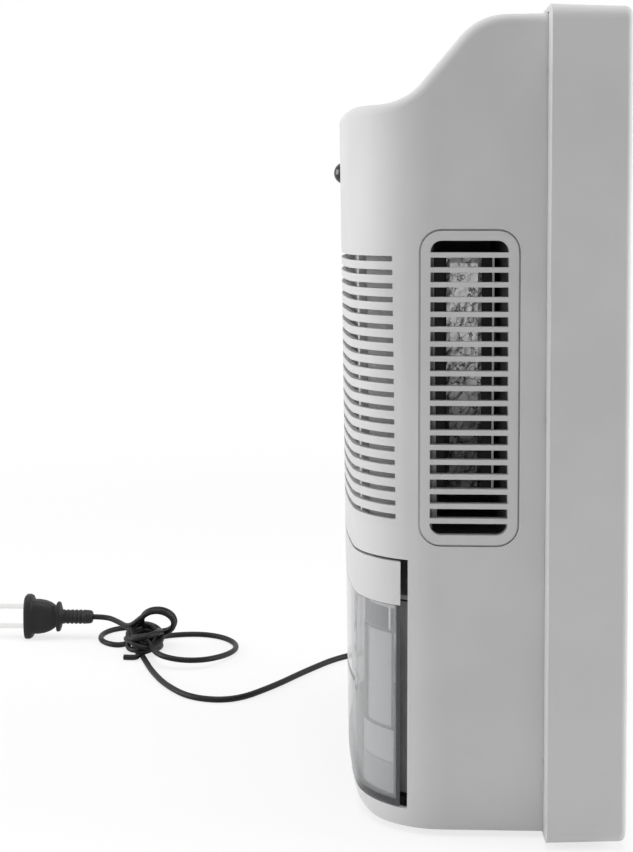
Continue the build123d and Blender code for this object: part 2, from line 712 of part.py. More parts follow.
def float_block():
    """Hollow plastic float at the end of the arm."""
    wide, long, tall = FLOAT_SIZE
    body = Pos(0, -FLOAT_ARM_LENGTH - long / 2, FLOAT_ARM_DEPTH / 2 - tall / 2) * Box(wide, long, tall)
    return hung(fillet(body.edges(), FLOAT_ARM_DEPTH / 2))


def float_magnet():
    """Round magnet on top of the arm near its pin."""
    low = FLOAT_ARM_DEPTH / 2
    y = -MAGNET_DIAMETER * 2
    return hung(rod_z(0, y, low, low + MAGNET_LENGTH, MAGNET_DIAMETER / 2))


def tank_bay():
    """Liner over and behind the tank, with bosses for the lower cover screws and a hole for the spout."""
    ceiling = leaning(plan_face(WALL + FIT_GAP, BACK), BAY_CEILING, BAY_TOP)
    liner = ceiling & ahead_of(BAY_REAR + BAY_WALL)
    half = INNER_HALF - FIT_GAP
    liner += block(-half, half, BAY_REAR, BAY_REAR + BAY_WALL, BODY_FLOOR, BAY_TOP)
    liner -= rod_z(0, FRONT + SPOUT_BACK, BAY_CEILING - WALL, BAY_TOP + WALL, SPOUT_RADIUS + FIT_GAP)
    x, z = LOW_SCREW
    for side in (-1, 1):
        boss_end = BAY_REAR + LOW_BOSS_LENGTH
        liner += rod_y(side * x, z, BAY_REAR, boss_end, BOSS_DIAMETER / 2)
        liner -= rod_y(side * x, z, BAY_REAR - WALL, boss_end + WALL, SCREW_DIAMETER / 2)
    return liner


def drip_tray():
    """Hopper under the cold sink with a spout down to the tank's inlet."""
    y0, y1 = FRONT + TRAY_FRONT, FRONT + TRAY_BACK
    half = TRAY_WIDTH / 2
    top = BAY_TOP + TRAY_HEIGHT
    tray = block(-half, half, y0, y1, BAY_TOP, top)
    spout_y = FRONT + SPOUT_BACK
    with BuildPart() as hopper:
        with BuildSketch(Plane.XY.offset(top + TRAY_WALL)):
            with Locations((0, (y0 + y1) / 2)):
                Rectangle(TRAY_WIDTH - 2 * TRAY_WALL, y1 - y0 - 2 * TRAY_WALL)
        with BuildSketch(Plane.XY.offset(BAY_TOP + TRAY_WALL)):
            with Locations((0, spout_y)):
                Rectangle(4 * SPOUT_BORE, 2 * SPOUT_BORE)
        loft()
    spout_low = LID_LEVEL + LID_THICKNESS + INLET_COLLAR_HEIGHT + SPOUT_CLEAR
    tray += rod_z(0, spout_y, spout_low, BAY_TOP, SPOUT_RADIUS)
    return tray - hopper.part - rod_z(0, spout_y, spout_low - WALL, top, SPOUT_BORE)


def air_duct():
    """Black duct round the hot sink, open to both side grilles, with a divider and the fan's port in its back."""
    y0, y1 = FRONT + DUCT_FRONT, FRONT + DUCT_BACK
    duct = block(-DUCT_HALF, DUCT_HALF, y0, y1, BAY_TOP, DUCT_TOP)
    inner = block(
        -REACH, REACH, y0 + DUCT_WALL, y1 - DUCT_WALL, BAY_TOP + DUCT_WALL, DUCT_TOP - DUCT_WALL
    )
    duct -= inner
    duct -= rod_y(0, CORE_HEIGHT, y1 - 2 * DUCT_WALL, y1 + DUCT_WALL, FAN_BORE / 2)
    half = FRAME_SIZE / 2
    duct -= block(-half, half, y0 - WALL, y0 + 2 * DUCT_WALL, CORE_HEIGHT - half, CORE_HEIGHT + half)
    for x, z in fan_hole_places():
        duct -= rod_y(x, z, y1 - 2 * DUCT_WALL, y1 + DUCT_WALL, SCREW_DIAMETER / 2)
    sink_half = HOT_HEIGHT / 2 + DIVIDER_GAP
    for low, high in ((BAY_TOP, CORE_HEIGHT - sink_half), (CORE_HEIGHT + sink_half, DUCT_TOP)):
        duct += block(-DUCT_WALL / 2, DUCT_WALL / 2, y0, y1, low, high)
    return duct


MODULE_BACK = DUCT_INNER_FRONT
MODULE_FRONT = MODULE_BACK - MODULE_THICKNESS


def peltier_module():
    """Square thermoelectric module between the two sinks."""
    half = MODULE_SIZE / 2
    return block(-half, half, MODULE_FRONT, MODULE_BACK, CORE_HEIGHT - half, CORE_HEIGHT + half)


def insulation_frame():
    """Foam frame round the module that fills the duct's window."""
    half = FRAME_SIZE / 2
    frame = block(-half, half, MODULE_FRONT, MODULE_BACK, CORE_HEIGHT - half, CORE_HEIGHT + half)
    hole = MODULE_SIZE / 2
    frame -= block(
        -hole, hole, MODULE_FRONT - WALL, MODULE_BACK + WALL, CORE_HEIGHT - hole, CORE_HEIGHT + hole
    )
    for side in (-1, 1):
        x = side * SINK_SCREW_SPACING / 2
        hole_radius = SCREW_DIAMETER / 2 + FIT_GAP
        frame -= rod_y(x, CORE_HEIGHT, MODULE_FRONT - WALL, MODULE_BACK + WALL, hole_radius)
    return frame


def hot_sink():
    """Extruded sink: a base against the module and upright fins towards the fan."""
    half = HOT_WIDTH / 2
    low, high = CORE_HEIGHT - HOT_HEIGHT / 2, CORE_HEIGHT + HOT_HEIGHT / 2
    base_back = MODULE_BACK + HOT_BASE
    sink = block(-half, half, MODULE_BACK, base_back, low, high)
    step = (HOT_WIDTH - HOT_FIN) / (HOT_FINS - 1)
    for i in range(HOT_FINS):
        x = -half + i * step
        sink += block(x, x + HOT_FIN, base_back, base_back + HOT_FIN_DEPTH, low, high)
    for side in (-1, 1):
        x = side * SINK_SCREW_SPACING / 2
        sink -= rod_y(x, CORE_HEIGHT, MODULE_BACK - WALL, base_back, SCREW_DIAMETER / 2)
    return sink


def cold_sink():
    """Smaller sink on the cold side with upright fins towards the louvre."""
    half = COLD_SIZE / 2
    low, high = CORE_HEIGHT - half, CORE_HEIGHT + half
    base_front = MODULE_FRONT - COLD_BASE
    sink = block(-half, half, base_front, MODULE_FRONT, low, high)
    step = (COLD_SIZE - COLD_FIN) / (COLD_FINS - 1)
    for i in range(COLD_FINS):
        x = -half + i * step
        sink += block(x, x + COLD_FIN, base_front - COLD_FIN_DEPTH, base_front, low, high)
    for side in (-1, 1):
        x = side * SINK_SCREW_SPACING / 2
        well = SCREW_HEAD / 2 + FIT_GAP
        sink -= rod_y(x, CORE_HEIGHT, base_front - COLD_FIN_DEPTH - WALL, base_front, well)
        sink -= rod_y(x, CORE_HEIGHT, base_front - WALL, MODULE_FRONT + WALL, SCREW_DIAMETER / 2 + FIT_GAP)
    return sink


def sink_screws():
    """Two screws that clamp the cold sink, module and hot sink together."""
    seat = MODULE_FRONT - COLD_BASE
    length = COLD_BASE + MODULE_THICKNESS + HOT_BASE
    return [pan_screw(s * SINK_SCREW_SPACING / 2, CORE_HEIGHT, seat, 1, length) for s in (-1, 1)]


def foil_pads():
    """Foil-faced insulation pads stuck on both end fins of the hot sink."""
    low, high = CORE_HEIGHT - HOT_HEIGHT / 2, CORE_HEIGHT + HOT_HEIGHT / 2
    y0 = MODULE_BACK + FOIL_START
    pads = []
    for side in (-1, 1):
        near = side * HOT_WIDTH / 2
        far = near + side * FOIL_THICKNESS
        pads.append(block(min(near, far), max(near, far), y0, y0 + FOIL_DEPTH, low, high))
    return pads


def fan_hole_places():
    """The x and z of the fan's four corner holes."""
    half = FAN_HOLE_SPACING / 2
    return [(sx * half, CORE_HEIGHT + sz * half) for sx in (-1, 1) for sz in (-1, 1)]


FAN_BACK = FAN_FRONT + FAN_DEPTH
FAN_BASE_FRONT = FAN_BACK - FAN_BASE_DEPTH
ROTOR_BACK = FAN_BASE_FRONT - FAN_AXIAL_GAP
ROTOR_FRONT = FAN_FRONT + FAN_AXIAL_GAP


def fan_frame():
    """Square fan frame with a round throat, corner holes and struts to the motor base."""
    half = FAN_SIZE / 2
    plan = Plane.XZ.offset(-FAN_FRONT) * Pos(0, CORE_HEIGHT)
    frame = extrude(plan * RectangleRounded(2 * half, 2 * half, FAN_CORNER), -FAN_DEPTH)
    frame -= rod_y(0, CORE_HEIGHT, FAN_FRONT - WALL, FAN_BACK + WALL, FAN_BORE / 2)
    for x, z in fan_hole_places():
        frame -= rod_y(x, z, FAN_FRONT - WALL, FAN_BACK + WALL, FAN_HOLE / 2)
    frame += rod_y(0, CORE_HEIGHT, FAN_BASE_FRONT, FAN_BACK, FAN_HUB / 2)
    for i in range(FAN_STRUTS):
        reach = (FAN_BORE / 2 + FAN_HUB / 2) / 2
        strut = Pos(reach, 0, 0) * Box(FAN_BORE / 2 - FAN_HUB / 2 + WALL, FAN_BASE_DEPTH, FAN_STRUT)
        turned = Rot(0, 45 + i * 360 / FAN_STRUTS, 0) * strut
        frame += Pos(0, FAN_BACK - FAN_BASE_DEPTH / 2, CORE_HEIGHT) * turned
    return frame - rod_y(0, CORE_HEIGHT, FAN_FRONT, FAN_BACK + WALL, FAN_BEARING_DIAMETER / 2)


def fan_bearing():
    """Bush in the motor base that the shaft runs in."""
    bush = rod_y(0, CORE_HEIGHT, FAN_BASE_FRONT, FAN_BACK, FAN_BEARING_DIAMETER / 2)
    bore = FAN_SHAFT_DIAMETER / 2 + FAN_RUN_GAP
    return bush - rod_y(0, CORE_HEIGHT, FAN_BASE_FRONT - WALL, FAN_BACK + WALL, bore)


def fan_rotor():
    """Hub with pitched blades."""
    hub = rod_y(0, CORE_HEIGHT, ROTOR_FRONT, ROTOR_BACK, FAN_HUB / 2)
    rotor = fillet(hub.faces().sort_by(Axis.Y)[0].edges(), WALL)
    tip = FAN_BORE / 2 - FAN_TIP_GAP
    middle = (ROTOR_FRONT + ROTOR_BACK) / 2
    swept_depth = ROTOR_BACK - ROTOR_FRONT
    chord = (swept_depth - FAN_BLADE_THICKNESS) / math.cos(math.radians(FAN_BLADE_PITCH))
    ring = rod_y(0, 0, -swept_depth / 2, swept_depth / 2, tip)
    for i in range(FAN_BLADES):
        root = FAN_HUB / 2 - WALL
        plate = Pos((root + FAN_BORE / 2) / 2, 0, 0) * Box(FAN_BORE / 2 - root, chord, FAN_BLADE_THICKNESS)
        blade = (Rot(FAN_BLADE_PITCH, 0, 0) * plate) & ring
        rotor += Pos(0, middle, CORE_HEIGHT) * Rot(0, i * 360 / FAN_BLADES, 0) * blade
    bore_front = ROTOR_BACK - FAN_HUB / 4
    return rotor - rod_y(0, CORE_HEIGHT, bore_front, ROTOR_BACK + WALL, FAN_SHAFT_DIAMETER / 2)


def fan_shaft():
    """Steel shaft fixed in the rotor's hub."""
    return rod_y(0, CORE_HEIGHT, ROTOR_BACK - FAN_HUB / 4, FAN_BACK, FAN_SHAFT_DIAMETER / 2)


def fan_screws():
    """Four long screws that hold the fan on the duct."""
    return [pan_screw(x, z, FAN_BACK, -1, FAN_DEPTH + DUCT_WALL) for x, z in fan_hole_places()]


def power_board():
    """Power supply board on the cover's standoffs, drilled for its screws."""
    wide, tall, thick = POWER_BOARD
    low = POWER_BOARD_HEIGHT - tall / 2
    board = block(-wide / 2, wide / 2, BOARD_BACK - thick, BOARD_BACK, low, low + tall)
    for x, z in board_hole_places():
        board -= rod_y(x, z, BOARD_BACK - 2 * thick, BOARD_BACK + thick, SCREW_DIAMETER / 2 + FIT_GAP)
    return board


def transformer():
    """Transformer on the front of the power board, with its core round the winding block."""
    wide, deep, tall = TRANSFORMER
    face = BOARD_BACK - POWER_BOARD[2]
    x = TRANSFORMER_SIDE
    core = block(x - wide / 2, x + wide / 2, face - deep, face, POWER_BOARD_HEIGHT - tall / 2,
                 POWER_BOARD_HEIGHT + tall / 2)
    return fillet(core.edges().filter_by(Axis.Y), WALL)


def capacitors():
    """Two round capacitors beside the transformer."""
    face = BOARD_BACK - POWER_BOARD[2]
    cans = []
    for side in (-1, 1):
        z = POWER_BOARD_HEIGHT + side * CAPACITOR_SPACING / 2
        can = rod_y(CAPACITOR_SIDE, z, face - CAPACITOR_LENGTH, face, CAPACITOR_DIAMETER / 2)
        cans.append(fillet(can.faces().sort_by(Axis.Y)[0].edges(), WALL / 2))
    return cans


def terminal_block():
    """Mains terminals near the cord's entry."""
    wide, deep, tall = TERMINAL
    face = BOARD_BACK - POWER_BOARD[2]
    x = -POWER_BOARD[0] / 2 + SCREW_HEAD * 2 + wide / 2
    z = POWER_BOARD_HEIGHT - POWER_BOARD[1] / 2 + tall
    return block(x - wide / 2, x + wide / 2, face - deep, face, z - tall / 2, z + tall / 2)


def level_switch():
    """Reed switch capsule on the back of the bay liner, level with the float's magnet."""
    wide, deep, tall = REED_SIZE
    y = BAY_REAR + BAY_WALL
    z = TANK_TOP - FLOAT_PIVOT_DROP
    return block(FLOAT_SIDE - wide / 2, FLOAT_SIDE + wide / 2, y, y + deep, z - tall / 2, z + tall / 2)


def strain_relief():
    """Tapered sleeve in the cover's side that the cord leaves through."""
    inner = RELIEF_FACE + WALL
    neck = rod_x(RELIEF_FACE, inner, RELIEF_Y, RELIEF_HEIGHT, RELIEF_ROOT / 2)
    flange_x = -COVER_WIDTH / 2 - RELIEF_FLANGE_DEPTH
    flange = rod_x(flange_x, -COVER_WIDTH / 2, RELIEF_Y, RELIEF_HEIGHT, RELIEF_FLANGE / 2)
    bridge = rod_x(-COVER_WIDTH / 2, RELIEF_FACE, RELIEF_Y, RELIEF_HEIGHT, RELIEF_ROOT / 2)
    keeper = rod_x(inner + FIT_GAP, inner + 2 * WALL, RELIEF_Y, RELIEF_HEIGHT, RELIEF_FLANGE / 2)
    link = rod_x(inner, inner + FIT_GAP, RELIEF_Y, RELIEF_HEIGHT, RELIEF_ROOT / 2)
    length = RELIEF_LENGTH - RELIEF_FLANGE_DEPTH
    taper = Cone(RELIEF_ROOT / 2, RELIEF_TIP / 2, length)
    sleeve = Pos(flange_x - length / 2, RELIEF_Y, RELIEF_HEIGHT) * Rot(0, -90, 0) * taper
    return neck + flange + bridge + keeper + link + sleeve


CORD_START = (-COVER_WIDTH / 2 - RELIEF_LENGTH, RELIEF_Y, RELIEF_HEIGHT)
PLUG_LENGTH = PLUG_FLANGE[2] + PLUG_BODY[2] + PLUG_NECK[2] + PLUG_SLEEVE_LENGTH
CORD_END = (PLUG_X, PLUG_TIP + PLUG_LENGTH, PLUG_HEIGHT)
# The free stretch goes forward on the floor past the far side of the product and in front of it.
LEAD_POINTS = [
    CORD_START,
    (-164.0, RELIEF_Y, RELIEF_HEIGHT),
    (-185.0, 20.0, 9.0),
    (-181.0, -22.0, CORD_FLOOR),
    (-158.0, -62.0, CORD_FLOOR),
    (-128.0, -83.0, CORD_FLOOR),
    (-98.0, -101.0, CORD_FLOOR),
    (-73.0, -121.0, CORD_FLOOR),
    (-76.0, -145.0, CORD_FLOOR),
    (-97.0, -162.0, CORD_FLOOR),
    (-122.0, -174.0, CORD_FLOOR),
    (-145.0, -182.0, CORD_FLOOR),
]


def loop_points(loop, start, end, steps, z0, z1):
    """Points round part of an oval loop (centre x, y and half sizes), climbing from z0 to z1."""
    cx, cy, rx, ry = loop
    points = []
    for i in range(steps + 1):
        share = i / steps
        turn = math.radians(start + (end - start) * share)
        climb = max(0.0, 2 * share - 1)
        z = z0 + (z1 - z0) * climb
        points.append((cx - rx * math.cos(turn), cy + ry * math.sin(turn), z))
    return points


def standing_points():
    """Points of the upright loops, a helix that leans over and leaves on its way down."""
    x0, y0 = STANDING_MIDDLE
    lean = math.radians(STANDING_LEAN)
    points = []
    for i in range(STANDING_STEPS + 1):
        turn = math.radians(i * STANDING_STEP_ANGLE)
        rise = STANDING_RADIUS * (1 - math.cos(turn))
        x = x0 + STANDING_STEP * turn / math.tau + rise * math.sin(lean)
        y = y0 + STANDING_RADIUS * math.sin(turn)
        points.append((x, y, HANK_LEVEL + rise * math.cos(lean)))
    return points


def hank_points():
    """The tied hank: flat right loop, flat left loop, then the upright loops."""
    before, start = LEAD_POINTS[-2:]
    share = HANK_RUN_IN / math.dist(before, start)
    under = tuple(b + share * (b - a) for a, b in zip(before, start))
    right = loop_points(RIGHT_LOOP, *RIGHT_TURNS, RIGHT_STEPS, CORD_FLOOR, HANK_LEVEL)
    left = loop_points(LEFT_LOOP, *LEFT_TURNS, LEFT_STEPS, CORD_FLOOR, CORD_FLOOR)
    right[0] = (*right[0][:2], HANK_UNDER)
    waist = (*HANK_WAIST, HANK_LEVEL)
    return [start, under, *right, waist, *left, HANK_RETURN, *standing_points()]


HANK_RETURN = (-191.0, -188.0, HANK_LEVEL)
HANK_POINTS = hank_points()
LEAVING = [end + HANK_LEAVE * (end - before) for before, end in zip(*HANK_POINTS[-2:])]
TAIL_POINTS = [
    HANK_POINTS[-1],
    tuple(LEAVING),
    (-187.0, -206.0, 13.4),
    (PLUG_X, -214.0, PLUG_HEIGHT),
    CORD_END,
]


def fillet_radii(points):
    """The tangent arc radius at each inner point: as wide as the shorter run beside it lets it be."""
    radii = []
    for before, here, after in zip(points, points[1:], points[2:]):
        one = Vector(*here) - Vector(*before)
        two = Vector(*after) - Vector(*here)
        half_turn = math.radians(one.get_angle(two)) / 2
        radii.append(BEND_SHARE * min(one.length, two.length) / math.tan(half_turn))
    return radii


def cord_tube(name, points):
    """A round tube along straight runs joined by tangent arcs; prints its length, radii and volume."""
    radii = fillet_radii(points)
    path = FilletPolyline(*points, radius=radii)
    start = Plane(path @ 0, z_dir=path % 0)
    tube = sweep(start * Circle(CORD_DIAMETER / 2), path=path)
    section = math.pi * CORD_DIAMETER ** 2 / 4
    print(name, "length", round(path.length, 1), "least radius", round(min(radii), 1),
          "volume share", round(tube.volume / (section * path.length), 3))
    return tube, path


def least_gap(path):
    """The least gap between the hank's surface and itself, measured on points along it."""
    count = int(path.length / (CORD_DIAMETER / 3))
    points = [path @ (i / count) for i in range(count + 1)]
    apart = int(NEAR_TURN * count / path.length)
    pairs = [(a, b) for i, a in enumerate(points) for b in points[i + apart:]]
    return min((a - b).length for a, b in pairs) - CORD_DIAMETER


def cord_tie():
    """Flat strap round the two strands where the upright loops cross the hank's waist."""
    x, y = STANDING_MIDDLE
    plan = Plane.XZ.offset(-y + TIE_DEPTH / 2) * Pos(x + STANDING_STEP / 2, HANK_LEVEL + TIE_LIFT)
    wide = STANDING_STEP + CORD_DIAMETER + 2 * TIE_GAP
    tall = CORD_DIAMETER + 2 * TIE_GAP
    radius = tall / 3
    inner = RectangleRounded(wide, tall, radius)
    outer = RectangleRounded(wide + 2 * TIE_THICKNESS, tall + 2 * TIE_THICKNESS, radius + TIE_THICKNESS)
    return extrude(plan * (outer - inner), -TIE_DEPTH)


def plug_slab(y, size, radius):
    """A rounded slab of the plug from y onwards: width, height and length."""
    wide, tall, long = size
    plan = Plane.XZ.offset(-y) * Pos(PLUG_X, PLUG_HEIGHT)
    return extrude(plan * RectangleRounded(wide, tall, radius), -long)


def plug_body():
    """Moulded plug: flange, grip block, neck with a finger wing, and a tapered sleeve."""
    flange_end = PLUG_TIP + PLUG_FLANGE[2]
    body_end = flange_end + PLUG_BODY[2]
    neck_end = body_end + PLUG_NECK[2]
    corner = PLUG_NECK[0] / 3
    flange = plug_slab(PLUG_TIP, PLUG_FLANGE, 2 * corner)
    flange = fillet(flange.faces().sort_by(Axis.Y)[-1].edges(), PLUG_FLANGE[2] / 3)
    grip = plug_slab(flange_end, PLUG_BODY, corner)
    grip = fillet(grip.faces().sort_by(Axis.Y)[-1].edges(), corner / 2)
    plug = flange + grip + plug_slab(body_end, PLUG_NECK, corner)
    wing_y = body_end + (PLUG_NECK[2] - PLUG_WING[2]) / 2
    plug += plug_slab(wing_y, PLUG_WING, corner)
    sleeve = Cone(PLUG_SLEEVE_ROOT, PLUG_SLEEVE_TIP, PLUG_SLEEVE_LENGTH)
    middle = Pos(PLUG_X, neck_end + PLUG_SLEEVE_LENGTH / 2, PLUG_HEIGHT)
    plug += middle * Rot(-90, 0, 0) * sleeve
    return plug


def plug_blades():
    """Two flat blades, one above the other as the plug lies."""
    wide, long, thick = BLADE
    blades = []
    for side in (-1, 1):
        z = PLUG_HEIGHT + side * BLADE_SPACING / 2
        blade = Pos(PLUG_X, PLUG_TIP - long / 2, z) * Box(wide, long, thick)
        tip = blade.faces().sort_by(Axis.Y)[0].edges().filter_by(Axis.Z)
        blades.append(chamfer(tip, wide / 5))
    return blades


cord_lead, lead_path = cord_tube("cord_lead", LEAD_POINTS)
cord_hank, hank_path = cord_tube("cord_hank", HANK_POINTS)
cord_tail, tail_path = cord_tube("cord_tail", TAIL_POINTS)
print("hank least gap to itself", round(least_gap(hank_path), 2))

NODES = {
    "front_housing": front_housing(),
    "front_louvre": front_louvre(),
    "side_grille_right": side_grille(1),
    "side_grille_left": side_grille(-1),
    "back_cover": back_cover(),
    "cover_screws": cover_screws(),
    "rubber_feet": rubber_feet(),
    "power_button": power_button(),
    "switch_plunger": switch_plunger(),
    "tact_switch": tact_switch(),
    "control_board": control_board(),
    "board_screws": board_screws(),
    "water_tank": water_tank(),
    "tank_fascia": tank_fascia(),
    "tank_lid": tank_lid(),
    "lid_seal": lid_seal(),
    "float_pin": float_pin(),
    "float_arm": float_arm(),
    "float_block": float_block(),
    "float_magnet": float_magnet(),
    "tank_bay": tank_bay(),
    "drip_tray": drip_tray(),
    "air_duct": air_duct(),
    "peltier_module": peltier_module(),
    "insulation_frame": insulation_frame(),
    "hot_sink": hot_sink(),
    "cold_sink": cold_sink(),
    "sink_screws": sink_screws(),
    "foil_pads": foil_pads(),
    "fan_frame": fan_frame(),
    "fan_bearing": fan_bearing(),
    "fan_rotor": fan_rotor(),
    "fan_shaft": fan_shaft(),
    "fan_screws": fan_screws(),
    "power_board": power_board(),
    "transformer": transformer(),
    "capacitors": capacitors(),
    "terminal_block": terminal_block(),
    "level_switch": level_switch(),
    "strain_relief": strain_relief(),
    "cord_lead": cord_lead,
    "cord_hank": cord_hank,
    "cord_tail": cord_tail,
    "cord_tie": cord_tie(),
    "plug_body": plug_body(),
    "plug_blades": plug_blades(),
}

for name, shape in NODES.items():
    solids = shape if isinstance(shape, list) else list(shape.solids())
    whole = Compound(children=solids) if len(solids) > 1 else solids[0]
    whole.label = name
    export_step(whole, f"parts/{name}.step")
    print(name, len(solids), round(whole.volume, 1))
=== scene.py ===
import math
import bmesh
import bpy
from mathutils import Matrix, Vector, noise


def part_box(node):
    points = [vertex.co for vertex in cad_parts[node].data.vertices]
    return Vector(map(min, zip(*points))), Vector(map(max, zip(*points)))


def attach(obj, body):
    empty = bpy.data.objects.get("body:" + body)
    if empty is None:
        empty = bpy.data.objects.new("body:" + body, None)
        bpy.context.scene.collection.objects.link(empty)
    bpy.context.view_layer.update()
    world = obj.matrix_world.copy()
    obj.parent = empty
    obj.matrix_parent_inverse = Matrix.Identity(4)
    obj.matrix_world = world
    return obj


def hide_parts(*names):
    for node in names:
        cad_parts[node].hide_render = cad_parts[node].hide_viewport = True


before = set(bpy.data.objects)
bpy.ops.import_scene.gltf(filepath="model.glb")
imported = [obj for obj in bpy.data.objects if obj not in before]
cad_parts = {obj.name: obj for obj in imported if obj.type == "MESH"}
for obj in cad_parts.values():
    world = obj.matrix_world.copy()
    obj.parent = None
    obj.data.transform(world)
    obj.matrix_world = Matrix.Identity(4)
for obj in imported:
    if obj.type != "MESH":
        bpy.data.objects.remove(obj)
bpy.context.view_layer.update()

# Front housing, back cover and side grilles: the curved shell with its S shaped top and the deep box behind.
# All are injection moulded in light grey satin plastic with a fine spark-eroded grain.
# The cover is screwed to bosses inside the housing, and the grilles snap into the housing's side openings.
SHELL_GREY = (0.60, 0.60, 0.605)
SHELL_GRAIN = 1400.0
GRAIN_PER_DRIFT = 60.0
GRAIN_DEPTH = 0.0003
GLOSS_SPREAD = 0.05
TINT_STOPS = (0.3, 0.7)


def new_finish(name):
    """A material with its node tree, principled shader and object coordinates in metres."""
    finish = bpy.data.materials.new(name)
    finish.use_nodes = True
    nodes = finish.node_tree.nodes
    shader = nodes["Principled BSDF"]
    place = nodes.new("ShaderNodeTexCoord").outputs["Object"]
    return finish, shader, place


def add_node(finish, kind, **settings):
    """A node in the finish's tree with the given settings or unlinked inputs."""
    node = finish.node_tree.nodes.new(kind)
    for key, value in settings.items():
        if key in node.inputs:
            node.inputs[key].default_value = value
        else:
            setattr(node, key, value)
    return node


def join(finish, out, into):
    """Links one socket to another."""
    finish.node_tree.links.new(out, into)


def speckle(finish, place, scale, detail=2.0):
    """Noise of the given scale per metre."""
    grain = add_node(finish, "ShaderNodeTexNoise", Scale=scale, Detail=detail)
    join(finish, place, grain.inputs["Vector"])
    return grain.outputs["Fac"]


def spread(finish, value, low, high):
    """Maps a 0 to 1 value to the range low to high."""
    ranged = add_node(finish, "ShaderNodeMapRange")
    ranged.inputs["To Min"].default_value = low
    ranged.inputs["To Max"].default_value = high
    join(finish, value, ranged.inputs["Value"])
    return ranged.outputs["Result"]


def tint(finish, value, dark, light):
    """A colour between dark and light by a 0 to 1 value."""
    ramp = add_node(finish, "ShaderNodeValToRGB")
    for stop, position, colour in zip(ramp.color_ramp.elements, TINT_STOPS, (dark, light)):
        stop.position = position
        stop.color = (*colour, 1.0)
    join(finish, value, ramp.inputs["Fac"])
    return ramp.outputs["Color"]


def emboss(finish, shader, height, strength, depth):
    """Raises the surface by a height value."""
    bump = add_node(finish, "ShaderNodeBump", Strength=strength, Distance=depth)
    join(finish, height, bump.inputs["Height"])
    join(finish, bump.outputs["Normal"], shader.inputs["Normal"])


def moulded(name, colour, grain, rough, tone=0.03, relief=0.12, metal=0.0, gloss=0.5):
    """Moulded or cast finish: slight tone drift, grain relief and uneven gloss."""
    finish, shader, place = new_finish(name)
    drift = speckle(finish, place, grain / GRAIN_PER_DRIFT)
    dark = tuple(c * (1 - tone) for c in colour)
    light = tuple(min(1.0, c * (1 + tone)) for c in colour)
    join(finish, tint(finish, drift, dark, light), shader.inputs["Base Color"])
    pits = speckle(finish, place, grain, 3.0)
    uneven = spread(finish, pits, rough - GLOSS_SPREAD, rough + GLOSS_SPREAD)
    join(finish, uneven, shader.inputs["Roughness"])
    emboss(finish, shader, pits, relief, GRAIN_DEPTH)
    shader.inputs["Metallic"].default_value = metal
    shader.inputs["Specular IOR Level"].default_value = gloss
    return finish


def dress(finish, *names):
    """Gives CAD nodes a finish."""
    for name in names:
        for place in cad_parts[name].material_slots:
            place.material = finish


shell_plastic = moulded("shell_plastic", SHELL_GREY, SHELL_GRAIN, 0.58, gloss=0.35)
dress(shell_plastic, "front_housing", "back_cover", "side_grille_right", "side_grille_left")

# Side grille seats: the ledge each grille insert drops onto, seen at the bottom of the groove round it.
# Moulded with the housing, in the same plastic.
GRILLE_MIDDLE = (-3.15, 196.5)
GRILLE_SIZE = (42.0, 136.0)
GRILLE_CORNER = 9.0
GRILLE_STEPS = 8
SEAT_TRACK = (0.08, 0.72)
SEAT_LEVEL = (93.4, 94.7)
MM = 0.001


def grille_outline(grow):
    """Points round the grille's opening, a rectangle with round corners, larger by grow all round."""
    points = []
    for quarter, (sy, sz) in enumerate(((1, 1), (-1, 1), (-1, -1), (1, -1))):
        y = GRILLE_MIDDLE[0] + sy * (GRILLE_SIZE[0] / 2 - GRILLE_CORNER)
        z = GRILLE_MIDDLE[1] + sz * (GRILLE_SIZE[1] / 2 - GRILLE_CORNER)
        reach = GRILLE_CORNER + grow
        for i in range(GRILLE_STEPS + 1):
            turn = math.radians(90 * (quarter + i / GRILLE_STEPS))
            points.append((y + reach * math.cos(turn), z + reach * math.sin(turn)))
    return points


def finished_piece(name, mesh, finish):
    """An object made of a finished mesh, with its faces turned outwards and its material on."""
    bmesh.ops.recalc_face_normals(mesh, faces=mesh.faces)
    data = bpy.data.meshes.new(name)
    mesh.to_mesh(data)
    mesh.free()
    data.materials.append(finish)
    piece = bpy.data.objects.new(name, data)
    bpy.context.collection.objects.link(piece)
    return piece


def closed_ring(name, loops, finish):
    """A solid ring through four or more loops of points, the last joined back to the first."""
    mesh = bmesh.new()
    rings = [[mesh.verts.new(Vector(p) * MM) for p in loop] for loop in loops]
    count = len(rings[0])
    for ring, after in zip(rings, rings[1:] + rings[:1]):
        for i in range(count):
            mesh.faces.new((ring[i], ring[(i + 1) % count], after[(i + 1) % count], after[i]))
    return finished_piece(name, mesh, finish)


for hand, side in (("right", 1), ("left", -1)):
    inner, outer = (grille_outline(grow) for grow in SEAT_TRACK)
    low, high = SEAT_LEVEL
    seat = closed_ring("grille_seat_" + hand, [
        [(side * x, y, z) for y, z in loop]
        for loop, x in ((inner, low), (inner, high), (outer, high), (outer, low))
    ], shell_plastic)
    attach(seat, "housing")

# Front louvre and tank fascia: a slotted panel that wraps both front corners, and the plain band below it.
# Moulded in the shell's plastic, given a copy of its finish a little darker as painted shade on these front
# faces; the louvre snaps into the housing from behind.
LOUVRE_SHADED_GREY = (0.59, 0.59, 0.59)
louvre_shaded_plastic = moulded("louvre_shaded_plastic", LOUVRE_SHADED_GREY, SHELL_GRAIN, 0.56, gloss=0.35)
dress(louvre_shaded_plastic, "front_louvre", "tank_fascia")

